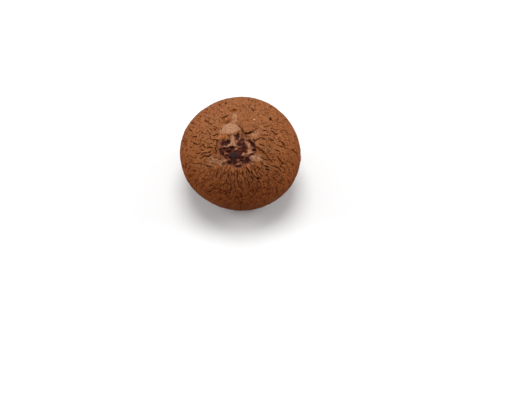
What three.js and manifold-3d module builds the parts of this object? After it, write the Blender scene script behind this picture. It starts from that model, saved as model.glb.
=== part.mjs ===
// Mochi bun: a chewy baked ball with a finely cracked brown crust, flattened where it stood on the tray.
// High on its front the crust has burst. Puckered folds of crust meet the lower lip of the burst, a thick
// plate of crust overhangs its upper right, a smooth patch of pale dough lies above it, and the dark bean
// paste inside shows in the opening.
//
// Frame: millimetres, +Z up, the origin under the middle of the bun on the plane it rests on, -Y the front.
// Every feature of the crust is placed on the surface in "burst millimetres": (a, b) is the distance along
// the surface to the right of and above the middle of the burst.

import * as THREE from 'three';
import { mergeVertices } from 'three/addons/utils/BufferGeometryUtils.js';
import Module from 'manifold-3d';

// ---- driving dimensions ------------------------------------------------------------------------------

const HALF_WIDTH = 30;          // the bun is 60 mm across
const WIDEST_AT = 20.2;         // height of the widest section above the tray
const TOP_HEIGHT = 26;          // dome above the widest section
const LOW_HEIGHT = 23.5;        // the rounded underside, which the tray cuts flat
const ROUND_POWER = 2;          // 2 is an ellipse
const SURFACE_RADIUS = 27;      // turns an angle at the bun's middle into millimetres on the crust
const CENTRE_SHIFT = [-0.044, -0.145];  // brings the middle of the outline over the origin, X and Y

// Gentle unevenness of the ball: [azimuth, elevation, height in mm], azimuth 0 at the front, 90 at the right.
const LUMPS = [
  [-143, 33, -0.35], [-74, -12, -0.2], [-37, -33, -0.4], [13, -38, 0.55], [57, -24, 0.25], [123, 24, -0.15],
  [168, 8, 0.45], [-165, -28, 0.35], [140, -30, -0.4], [-110, 48, 0.35], [150, 62, -0.3],
];
const LUMP_SPREAD = 24;         // degrees

const BURST_AZIMUTH = -6;       // where the crust burst, in degrees
const BURST_ELEVATION = 54;

const DISH = { a: -0.5, b: 0.8, ra: 9.3, rb: 7.8, depth: 1.3 };       // the burst itself
const PALE_PATCH = { a: -3.2, b: 11.3, ra: 5.2, rb: 3.7, depth: 0.6 }; // bare dough above it
const PALE_STREAK = { a: -1.0, b: 18.2, ra: 1.5, rb: 4.6, depth: 0.45 };
const PLATE = { a: 7.2, b: 15.6, ra: 7.4, rb: 6.6, height: 0.55 };    // the overhanging plate of crust
const PALE_LEFT = { a: -11.5, b: -3.9, ra: 4.6, rb: 1.5, depth: 0.45 };

const PLEAT_STEP = 12;          // degrees from one fold to the next
const PLEAT_FROM = 7.2;         // mm from the middle of the burst to the folds' rounded ends
const PLEAT_TO = 23;            // mm, where they have faded out
const PLEAT_HEIGHT = 0.5;
const PLEAT_MIDDLE = -90;       // degrees: the folds hang from the lower lip
const PLEAT_HALF_FAN = 62;

const PASTE_LIFT = 3;           // centre of the paste above the bun's middle, along the burst
const PASTE_RADIUS = 15;        // ball of paste inside
const PASTE_REACH = 22.5;       // from that centre to the paste that shows in the burst
const NECK_RADIUS = 7.7;        // the paste's way up through the dough, and the hole it shows in
const GAP = 0.3;                // between dough and paste

const COLUMNS = 96, FAN_COLUMNS = 56, RINGS = 32;   // crust mesh; most columns go to the folds
const PASTE_COLUMNS = 36, PASTE_RINGS = 24;

// ---- helpers -----------------------------------------------------------------------------------------

const rad = THREE.MathUtils.degToRad;
const clamp01 = (x) => Math.min(1, Math.max(0, x));
const smooth = (lo, hi, x) => { const t = clamp01((x - lo) / (hi - lo)); return t * t * (3 - 2 * t); };
const direction = (azimuth, elevation) => new THREE.Vector3(
  Math.cos(rad(elevation)) * Math.sin(rad(azimuth)),
  -Math.cos(rad(elevation)) * Math.cos(rad(azimuth)),
  Math.sin(rad(elevation)));

const centre = new THREE.Vector3(CENTRE_SHIFT[0], CENTRE_SHIFT[1], WIDEST_AT);
const burst = direction(BURST_AZIMUTH, BURST_ELEVATION);
const right = new THREE.Vector3(1, 0, 0).addScaledVector(burst, -burst.x).normalize();
const above = new THREE.Vector3().crossVectors(burst, right);

// The direction at an angle from the burst, turned from its right-hand side.
const aroundBurst = (angle, turn) => new THREE.Vector3()
  .addScaledVector(burst, Math.cos(angle))
  .addScaledVector(right, Math.sin(angle) * Math.cos(turn))
  .addScaledVector(above, Math.sin(angle) * Math.sin(turn));

// How far outside an ellipse on the crust a point lies: 0 in its middle, 1 on its edge.
const ellipse = (e, a, b) => Math.hypot((a - e.a) / e.ra, (b - e.b) / e.rb);

// ---- the crust ---------------------------------------------------------------------------------------

const lumps = LUMPS.map(([azimuth, elevation, height]) => ({ towards: direction(azimuth, elevation), height }));

function ballRadius(d) {
  const across = Math.hypot(d.x, d.y), c = d.z > 0 ? TOP_HEIGHT : LOW_HEIGHT;
  let r = (((across / HALF_WIDTH) ** ROUND_POWER) + ((Math.abs(d.z) / c) ** ROUND_POWER)) ** (-1 / ROUND_POWER);
  for (const lump of lumps) {
    r += lump.height * Math.exp(-(1 - d.dot(lump.towards)) / (1 - Math.cos(rad(LUMP_SPREAD))));
  }
  return r;
}

// Folds of crust drawn together at the lower lip: rounded ridges with sharp valleys between them.
function pleats(s, turn) {
  const off = THREE.MathUtils.euclideanModulo(turn - PLEAT_MIDDLE + 180, 360) - 180;
  const fan = 1 - smooth(PLEAT_HALF_FAN - 16, PLEAT_HALF_FAN, Math.abs(off));
  const ridge = Math.abs(Math.cos(rad(90 * (off + 1.2 * Math.sin(s * 0.5)) / (PLEAT_STEP / 2))));
  const along = smooth(PLEAT_FROM - 1.4, PLEAT_FROM + 1.2, s) * (1 - smooth(PLEAT_FROM + 3, PLEAT_TO, s));
  return PLEAT_HEIGHT * fan * along * (ridge - 0.25);
}

function crustRelief(s, turnRad) {
  const a = s * Math.cos(turnRad), b = s * Math.sin(turnRad);
  let h = 0;
  h -= DISH.depth * (1 - smooth(0.72, 1.06, ellipse(DISH, a, b)));
  h -= PALE_PATCH.depth * (1 - smooth(0.7, 1.05, ellipse(PALE_PATCH, a, b)));
  h -= PALE_STREAK.depth * (1 - smooth(0.6, 1.1, ellipse(PALE_STREAK, a, b)));
  h -= PALE_LEFT.depth * (1 - smooth(0.6, 1.1, ellipse(PALE_LEFT, a, b)));
  h += PLATE.height * (1 - smooth(0.9, 1.04, ellipse(PLATE, a, b))) * (1 - smooth(15, 22, b));
  return h + pleats(s, THREE.MathUtils.radToDeg(turnRad));
}

// Angle from the burst of a ring of the mesh: rings lie close together at the burst and wider behind it.
const ringAngle = (v) => Math.PI * (0.4 * v + 0.6 * v * v);

// Turn of a column of the mesh: FAN_COLUMNS of them share the fan of folds.
function columnTurn(i) {
  const fan = 2 * PLEAT_HALF_FAN, n = i % COLUMNS;
  return rad(PLEAT_MIDDLE - fan / 2 + (n <= FAN_COLUMNS
    ? (fan * n) / FAN_COLUMNS
    : fan + ((360 - fan) * (n - FAN_COLUMNS)) / (COLUMNS - FAN_COLUMNS)));
}

function bentSphere(columns, rings, place) {
  const geometry = new THREE.SphereGeometry(1, columns, rings);
  const position = geometry.getAttribute('position');
  for (let ring = 0, k = 0; ring <= rings; ring++) {
    for (let column = 0; column <= columns; column++, k++) {
      const p = place(ring / rings, column % columns, ring === 0 || ring === rings);
      position.setXYZ(k, p.x, p.y, p.z);
    }
  }
  geometry.deleteAttribute('normal');
  geometry.deleteAttribute('uv');
  return mergeVertices(geometry, 1e-4);
}

const crustGeometry = bentSphere(COLUMNS, RINGS, (v, column, pole) => {
  const angle = v === 1 ? Math.PI : ringAngle(v), turn = pole ? 0 : columnTurn(column);
  const d = aroundBurst(angle, turn);
  return d.multiplyScalar(ballRadius(d) + crustRelief(SURFACE_RADIUS * angle, turn)).add(centre);
});

// ---- the paste ---------------------------------------------------------------------------------------

const pasteCentre = centre.clone().addScaledVector(burst, PASTE_LIFT);

// A ball with a round neck that rises to the burst. The neck is uneven, wider to the sides than up and down.
function pasteRadius(angle, turn, reach, grow) {
  const uneven = 1 + 0.08 * Math.cos(2 * turn) + 0.05 * Math.cos(3 * turn + 1) + 0.04 * Math.sin(5 * turn);
  const side = angle < Math.PI / 2 ? (NECK_RADIUS * uneven + grow) / Math.max(Math.sin(angle), 1e-6) : 0;
  return Math.max(PASTE_RADIUS + grow, Math.min(reach, side));
}

// Soft lumps of the paste that shows, and the round blob that bulges just below the middle of the burst.
function pasteLumps(angle, turn) {
  const s = SURFACE_RADIUS * angle * 0.8, a = s * Math.cos(turn), b = s * Math.sin(turn);
  const shown = 1 - smooth(rad(12), rad(19), angle);
  const blob = Math.exp(-((a + 1.2) ** 2 + (b + 2.4) ** 2) / 5);
  return shown * (0.25 * Math.sin(1.1 * a + 0.6) * Math.cos(0.9 * b - 0.4) + 0.6 * blob) - 0.008 * s * s * (1 - smooth(rad(20), rad(30), angle));
}

const pasteAngle = (v) => Math.PI * (0.3 * v + 0.7 * v ** 1.6);

function pasteGeometry(grow, reach, lumpy) {
  return bentSphere(PASTE_COLUMNS, PASTE_RINGS, (v, column, pole) => {
    const angle = v === 1 ? Math.PI : pasteAngle(v);
    const turn = pole ? 0 : rad((360 * column) / PASTE_COLUMNS);
    const r = pasteRadius(angle, turn, reach, grow) + (lumpy ? pasteLumps(angle, turn) : 0);
    return aroundBurst(angle, turn).multiplyScalar(r).add(pasteCentre);
  });
}

// ---- cutting the dough -------------------------------------------------------------------------------

const wasm = await Module();
wasm.setup();

const solid = (geometry) => new wasm.Manifold(new wasm.Mesh({
  numProp: 3,
  vertProperties: geometry.getAttribute('position').array,
  triVerts: new Uint32Array(geometry.index.array),
}));

function geometryOf(manifold) {
  const mesh = manifold.getMesh(), n = mesh.numProp, xyz = new Float32Array(mesh.numVert * 3);
  for (let i = 0; i < mesh.numVert; i++) xyz.set(mesh.vertProperties.subarray(i * n, i * n + 3), i * 3);
  const geometry = new THREE.BufferGeometry();
  geometry.setAttribute('position', new THREE.BufferAttribute(xyz, 3));
  geometry.setIndex(new THREE.BufferAttribute(new Uint32Array(mesh.triVerts), 1));
  geometry.computeVertexNormals();
  return geometry;
}

function boxGeometry(width, depth, height, x, y, z) {
  const box = new THREE.BoxGeometry(width, depth, height).translate(x, y, z);
  box.deleteAttribute('normal');
  box.deleteAttribute('uv');
  return mergeVertices(box);
}

// The tray's flat, and a pocket for the paste that is open at the burst.
const tray = solid(boxGeometry(90, 90, 20, 0, 0, -10));
const pocket = solid(pasteGeometry(GAP, PASTE_REACH + 8, false));
const dough = solid(crustGeometry).subtract(tray).subtract(pocket);

// ---- the bun -----------------------------------------------------------------------------------------

const bun = new THREE.Mesh(geometryOf(dough), new THREE.MeshStandardMaterial({
  color: new THREE.Color('#985c37'), roughness: 0.85, metalness: 0,
}));
bun.name = 'bun';

const filling = new THREE.Mesh(pasteGeometry(0, PASTE_REACH, true), new THREE.MeshStandardMaterial({
  color: new THREE.Color('#3a2120'), roughness: 0.45, metalness: 0,
}));
filling.name = 'filling';

const mochiBun = new THREE.Group();
mochiBun.add(bun, filling);

export default mochiBun;
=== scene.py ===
"""A baked mochi bun: a chewy ball with a finely cracked brown crust, burst open on its front so that pale dough
and the dark bean paste inside show. Lengths are worked out in millimetres and turned into metres for Blender."""

import math

import bpy
import numpy as np
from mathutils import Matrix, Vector, kdtree


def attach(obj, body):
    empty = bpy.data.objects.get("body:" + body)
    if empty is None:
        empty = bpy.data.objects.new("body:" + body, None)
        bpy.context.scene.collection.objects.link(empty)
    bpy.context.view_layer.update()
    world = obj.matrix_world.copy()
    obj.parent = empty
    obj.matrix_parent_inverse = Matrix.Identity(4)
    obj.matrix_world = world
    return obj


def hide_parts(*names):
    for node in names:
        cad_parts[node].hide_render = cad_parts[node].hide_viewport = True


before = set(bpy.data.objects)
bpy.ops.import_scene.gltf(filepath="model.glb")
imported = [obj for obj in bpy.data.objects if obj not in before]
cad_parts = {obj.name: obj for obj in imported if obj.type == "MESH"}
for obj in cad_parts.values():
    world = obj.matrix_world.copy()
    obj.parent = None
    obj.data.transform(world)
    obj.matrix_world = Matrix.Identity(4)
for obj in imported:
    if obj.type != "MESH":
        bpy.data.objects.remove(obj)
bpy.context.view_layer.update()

# ---- the ball and where its features lie ---------------------------------------------------------------

HALF_WIDTH, TOP_HEIGHT, LOW_HEIGHT, WIDEST_AT = 30.0, 26.0, 23.5, 20.2
CENTRE = np.array([-0.044, -0.145, WIDEST_AT])
LUMPS = [  # azimuth, elevation, height
    (-143, 33, -0.35), (-74, -12, -0.2), (-37, -33, -0.4), (13, -38, 0.55), (57, -24, 0.25), (123, 24, -0.15),
    (168, 8, 0.45), (-165, -28, 0.35), (140, -30, -0.4), (-110, 48, 0.35), (150, 62, -0.3),
]
LUMP_SPREAD = 24.0
BURST = (-6.0, 54.0)
R0 = 27.0  # turns an angle at the middle of the bun into millimetres on the crust


def direction(azimuth, elevation):
    a, e = math.radians(azimuth), math.radians(elevation)
    return np.array([math.cos(e) * math.sin(a), -math.cos(e) * math.cos(a), math.sin(e)])


P = direction(*BURST)
E1 = np.array([1.0, 0, 0]) - P[0] * P
E1 /= np.linalg.norm(E1)
E2 = np.cross(P, E1)


def smooth(lo, hi, x):
    t = np.clip((x - lo) / (hi - lo), 0, 1)
    return t * t * (3 - 2 * t)


def smin(a, b, k):
    h = np.maximum(k - np.abs(a - b), 0) / k
    return np.minimum(a, b) - h * h * k * 0.25


def ball_radius(d):
    across = np.hypot(d[:, 0], d[:, 1])
    c = np.where(d[:, 2] > 0, TOP_HEIGHT, LOW_HEIGHT)
    r = 1 / np.sqrt((across / HALF_WIDTH) ** 2 + (d[:, 2] / c) ** 2)
    for azimuth, elevation, height in LUMPS:
        r = r + height * np.exp(-(1 - d @ direction(azimuth, elevation)) / (1 - math.cos(math.radians(LUMP_SPREAD))))
    return r


def burst_polar(d):
    """Angle from the burst and turn round it from its right-hand side."""
    return np.arccos(np.clip(d @ P, -1, 1)), np.arctan2(d @ E2, d @ E1)


def from_polar(theta, turn):
    return np.cos(theta)[:, None] * P + np.sin(theta)[:, None] * (np.cos(turn)[:, None] * E1 + np.sin(turn)[:, None] * E2)


def from_ab(a, b):
    a, b = np.atleast_1d(np.asarray(a, float)), np.atleast_1d(np.asarray(b, float))
    return from_polar(np.hypot(a, b) / R0, np.arctan2(b, a))


def to_ab(d):
    theta, turn = burst_polar(d)
    return R0 * theta * np.cos(turn), R0 * theta * np.sin(turn)


# ---- noise -----------------------------------------------------------------------------------------------

_g = np.random.default_rng(7).normal(size=(256, 3))
GRADIENTS = _g / np.linalg.norm(_g, axis=1)[:, None]


def hashed(i, j, k, seed):
    with np.errstate(over="ignore"):
        h = (i.astype(np.uint32) * np.uint32(0x8DA6B343)) ^ (j.astype(np.uint32) * np.uint32(0xD8163841))
        h ^= (k.astype(np.uint32) * np.uint32(0xCB1AB31F)) ^ np.uint32((seed * 0x9E3779B1) & 0xFFFFFFFF)
        h ^= h >> np.uint32(15)
        h = h * np.uint32(0x2C1B3C6D)
        h ^= h >> np.uint32(12)
        h = h * np.uint32(0x297A2D39)
        return h ^ (h >> np.uint32(15))


def perlin(p, seed):
    i = np.floor(p).astype(np.int64)
    f = p - i
    u = f * f * f * (f * (f * 6 - 15) + 10)
    total = np.zeros(len(p))
    for dx in (0, 1):
        for dy in (0, 1):
            for dz in (0, 1):
                g = GRADIENTS[hashed(i[:, 0] + dx, i[:, 1] + dy, i[:, 2] + dz, seed) & np.uint32(255)]
                dot = (f[:, 0] - dx) * g[:, 0] + (f[:, 1] - dy) * g[:, 1] + (f[:, 2] - dz) * g[:, 2]
                w = (u[:, 0] if dx else 1 - u[:, 0]) * (u[:, 1] if dy else 1 - u[:, 1]) * (u[:, 2] if dz else 1 - u[:, 2])
                total += w * dot
    return total * 1.6


def fbm(p, size, octaves, seed, rough=0.5):
    """Soft noise about -1 to 1, with features of about size millimetres."""
    total, amp, norm = np.zeros(len(p)), 1.0, 0.0
    for o in range(octaves):
        total += amp * perlin(p * (2.03**o / size) + 17.3 * o, seed + 31 * o)
        norm += amp
        amp *= rough
    return total / norm


def unit_hash(i, j, seed):
    """A number from 0 to 1 for a pair of cells, the same whichever comes first."""
    lo, hi = np.minimum(i, j), np.maximum(i, j)
    return (hashed(lo, hi, lo * 0, seed) & np.uint32(0xFFFF)).astype(float) / 65535.0


# ---- meshes ----------------------------------------------------------------------------------------------


def geodesic(n):
    """Unit directions and triangles of an icosahedron with each face split n ways."""
    t = (1 + 5**0.5) / 2
    base = np.array([(-1, t, 0), (1, t, 0), (-1, -t, 0), (1, -t, 0), (0, -1, t), (0, 1, t), (0, -1, -t), (0, 1, -t),
                     (t, 0, -1), (t, 0, 1), (-t, 0, -1), (-t, 0, 1)], float)
    faces = [(0, 11, 5), (0, 5, 1), (0, 1, 7), (0, 7, 10), (0, 10, 11), (1, 5, 9), (5, 11, 4), (11, 10, 2), (10, 7, 6),
             (7, 1, 8), (3, 9, 4), (3, 4, 2), (3, 2, 6), (3, 6, 8), (3, 8, 9), (4, 9, 5), (2, 4, 11), (6, 2, 10),
             (8, 6, 7), (9, 8, 1)]
    i, j = np.meshgrid(np.arange(n + 1), np.arange(n + 1), indexing="ij")
    keep = i + j <= n
    index = -np.ones((n + 1, n + 1), int)
    index[keep] = np.arange(keep.sum())
    i, j = i[keep], j[keep]
    up = (i + j < n)
    down = (i + j < n - 1)
    tri = np.concatenate([
        np.stack([index[i[up], j[up]], index[i[up] + 1, j[up]], index[i[up], j[up] + 1]], 1),
        np.stack([index[i[down] + 1, j[down]], index[i[down] + 1, j[down] + 1], index[i[down], j[down] + 1]], 1)])
    points, tris = [], []
    for f, (x, y, z) in enumerate(faces):
        p = (base[x] * (n - i - j)[:, None] + base[y] * i[:, None] + base[z] * j[:, None]) / n
        points.append(p / np.linalg.norm(p, axis=1)[:, None])
        tris.append(tri + f * len(i))
    points, tris = np.concatenate(points), np.concatenate(tris)
    _, first, inverse = np.unique(np.round(points * 1e5).astype(np.int64), axis=0, return_index=True, return_inverse=True)
    return points[first], inverse.ravel()[tris]


def spread_from_burst(d, area):
    """Moves evenly spread directions towards the burst, so that triangles there have the area that area(s) asks for."""
    theta = np.linspace(0, math.pi, 4001)
    per = np.sin(theta) / area(R0 * theta)
    n = np.concatenate([[0], np.cumsum((per[1:] + per[:-1]) / 2)])
    even = np.arccos(np.clip(1 - 2 * n / n[-1], -1, 1))
    angle, turn = burst_polar(d)
    return from_polar(np.interp(angle, even, theta), turn)


def make_mesh(name, co_mm, tris, attributes=()):
    mesh = bpy.data.meshes.new(name)
    mesh.vertices.add(len(co_mm))
    mesh.vertices.foreach_set("co", (co_mm / 1000).astype(np.float32).ravel())
    mesh.loops.add(len(tris) * 3)
    mesh.loops.foreach_set("vertex_index", tris.astype(np.int32).ravel())
    mesh.polygons.add(len(tris))
    mesh.polygons.foreach_set("loop_start", np.arange(0, len(tris) * 3, 3, dtype=np.int32))
    mesh.update(calc_edges=True)
    mesh.polygons.foreach_set("use_smooth", np.ones(len(tris), bool))
    for key, values in dict(attributes).items():
        values = np.asarray(values, np.float32)
        kind, field = ("FLOAT_VECTOR", "vector") if values.ndim == 2 else ("FLOAT", "value")
        mesh.attributes.new(key, kind, "POINT").data.foreach_set(field, values.ravel())
    mesh.validate()
    obj = bpy.data.objects.new(name, mesh)
    bpy.context.scene.collection.objects.link(obj)
    return obj


# ---- flat shapes on the crust, in burst millimetres ------------------------------------------------------


def ellipse(a, b, ca, cb, ra, rb, turn=0.0):
    """About the distance outside an ellipse, negative inside."""
    t = math.radians(turn)
    x, y = (a - ca) * math.cos(t) + (b - cb) * math.sin(t), -(a - ca) * math.sin(t) + (b - cb) * math.cos(t)
    k = np.hypot(x / ra, y / rb)
    g = np.hypot(x / ra**2, y / rb**2) + 1e-9
    return np.where(k < 0.5, (k - 1) * min(ra, rb), k * (k - 1) / g)


def strip(a, b, points, w0, w1=None):
    """About the distance outside a bent strip that runs through points, from half-width w0 to w1."""
    w1 = w0 if w1 is None else w1
    best = np.full(len(a), 1e9)
    n = len(points) - 1
    for i in range(n):
        (x0, y0), (x1, y1) = points[i], points[i + 1]
        dx, dy = x1 - x0, y1 - y0
        t = np.clip(((a - x0) * dx + (b - y0) * dy) / (dx * dx + dy * dy), 0, 1)
        dist = np.hypot(a - x0 - t * dx, b - y0 - t * dy)
        best = np.minimum(best, dist - (w0 + (w1 - w0) * (i + t) / n))
    return best


def opened(a, b, points, w):
    """About the distance outside a crack that opens to half-width w at its middle and tapers to both ends."""
    sizes = [math.dist(p, q) for p, q in zip(points, points[1:])]
    best, gone = np.full(len(a), 1e9), 0.0
    for (x0, y0), (x1, y1), size in zip(points, points[1:], sizes):
        dx, dy = x1 - x0, y1 - y0
        t = np.clip(((a - x0) * dx + (b - y0) * dy) / size**2, 0, 1)
        u = (gone + t * size) / sum(sizes)
        best = np.minimum(best, np.hypot(a - x0 - t * dx, b - y0 - t * dy) - w * (0.25 + 0.75 * (4 * u * (1 - u)) ** 0.6))
        gone += size
    return best


def union(distances, k=0.3):
    out = distances[0]
    for x in distances[1:]:
        out = smin(out, x, k)
    return out


# ---- cells of the cracked crust --------------------------------------------------------------------------


def flow(d):
    """The way the crust was pulled: the direction along which its cells and cracks run, as tangent vectors."""
    a, b = to_ab(d)
    turn = np.degrees(np.arctan2(b, a))
    rightward = smooth(-75, -35, turn) * (1 - smooth(45, 85, turn)) * smooth(4, 12, np.hypot(a, b))
    source = from_ab(-8.0, 14.0)[0]
    here = np.array([P]) * (1 - rightward)[:, None] + source * rightward[:, None]
    here /= np.linalg.norm(here, axis=1)[:, None]
    out = d - here
    out -= (out * d).sum(1)[:, None] * d
    out += 1e-6
    return out / np.linalg.norm(out, axis=1)[:, None]


def cell_size(d):
    """Length along the flow and width across it of the crust's cells."""
    a, b = to_ab(d)
    s, turn = np.hypot(a, b), np.degrees(np.arctan2(b, a))
    rightward = smooth(-60, -30, turn) * (1 - smooth(35, 70, turn)) * smooth(6, 12, s)
    behind = smooth(34, 50, s)
    length = 2.15 + 0.95 * rightward
    width = 1.65 + 0.25 * rightward
    return length * (1 - behind) + 2.9 * behind, width * (1 - behind) + 2.5 * behind


class Cells:
    """Irregular cells all over the crust, with the distance from any point to the nearest borders."""

    def __init__(self, seed):
        rng = np.random.default_rng(seed)
        d = rng.normal(size=(16000, 3))
        d /= np.linalg.norm(d, axis=1)[:, None]
        along = flow(d)
        across = np.cross(d, along)
        length, width = cell_size(d)
        # keep directions that are far enough from those kept before
        u, w = along * (R0 / length)[:, None], across * (R0 / width)[:, None]
        kept = np.zeros(len(d), int)
        count = 0
        for n in range(len(d)):
            k = kept[:count]
            v = d[n] - d[k]
            if count == 0 or ((v * u[k]).sum(1) ** 2 + (v * w[k]).sum(1) ** 2).min() > 0.74**2:
                kept[count] = n
                count += 1
        k = kept[:count]
        self.d, self.along, self.across, self.length, self.width = d[k], along[k], across[k], length[k], width[k]
        rng = np.random.default_rng(seed + 1)
        self.offset, self.tilt = rng.uniform(-1, 1, count), rng.normal(size=(count, 2))
        self.tree = kdtree.KDTree(count)
        for n, v in enumerate(self.d):
            self.tree.insert(Vector(v), n)
        self.tree.balance()

    def near(self, d, how_many=7):
        find = self.tree.find_n
        return np.array([[hit[1] for hit in find(Vector(v), how_many)] for v in d])

    def measure(self, d, ids):
        """For each direction: the cell it is in, the neighbours and the distance in mm to the border with each."""
        v = (d[:, None, :] - self.d[ids]) * R0
        x = (v * self.along[ids]).sum(2) / self.length[ids]
        y = (v * self.across[ids]).sum(2) / self.width[ids]
        m = np.hypot(x, y) + 1e-9
        order = np.argsort(m, axis=1)
        ids, m, x, y = (np.take_along_axis(q, order, 1) for q in (ids, m, x, y))
        g = self.along[ids] * (x / m / self.length[ids])[..., None] + self.across[ids] * (y / m / self.width[ids])[..., None]
        slope = np.linalg.norm(g[:, 1:] - g[:, :1], axis=2) + 1e-6
        border = (m[:, 1:] - m[:, :1]) / slope
        # how much each border runs along the flow: 1 if it does, 0 if it crosses it
        apart = self.d[ids[:, 1:]] - self.d[ids[:, :1]]
        apart /= np.linalg.norm(apart, axis=2)[..., None] + 1e-9
        lengthwise = np.abs((apart * self.across[ids[:, :1]]).sum(2))
        return ids[:, 0], ids[:, 1:], border, lengthwise, x[:, 0], y[:, 0]


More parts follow.
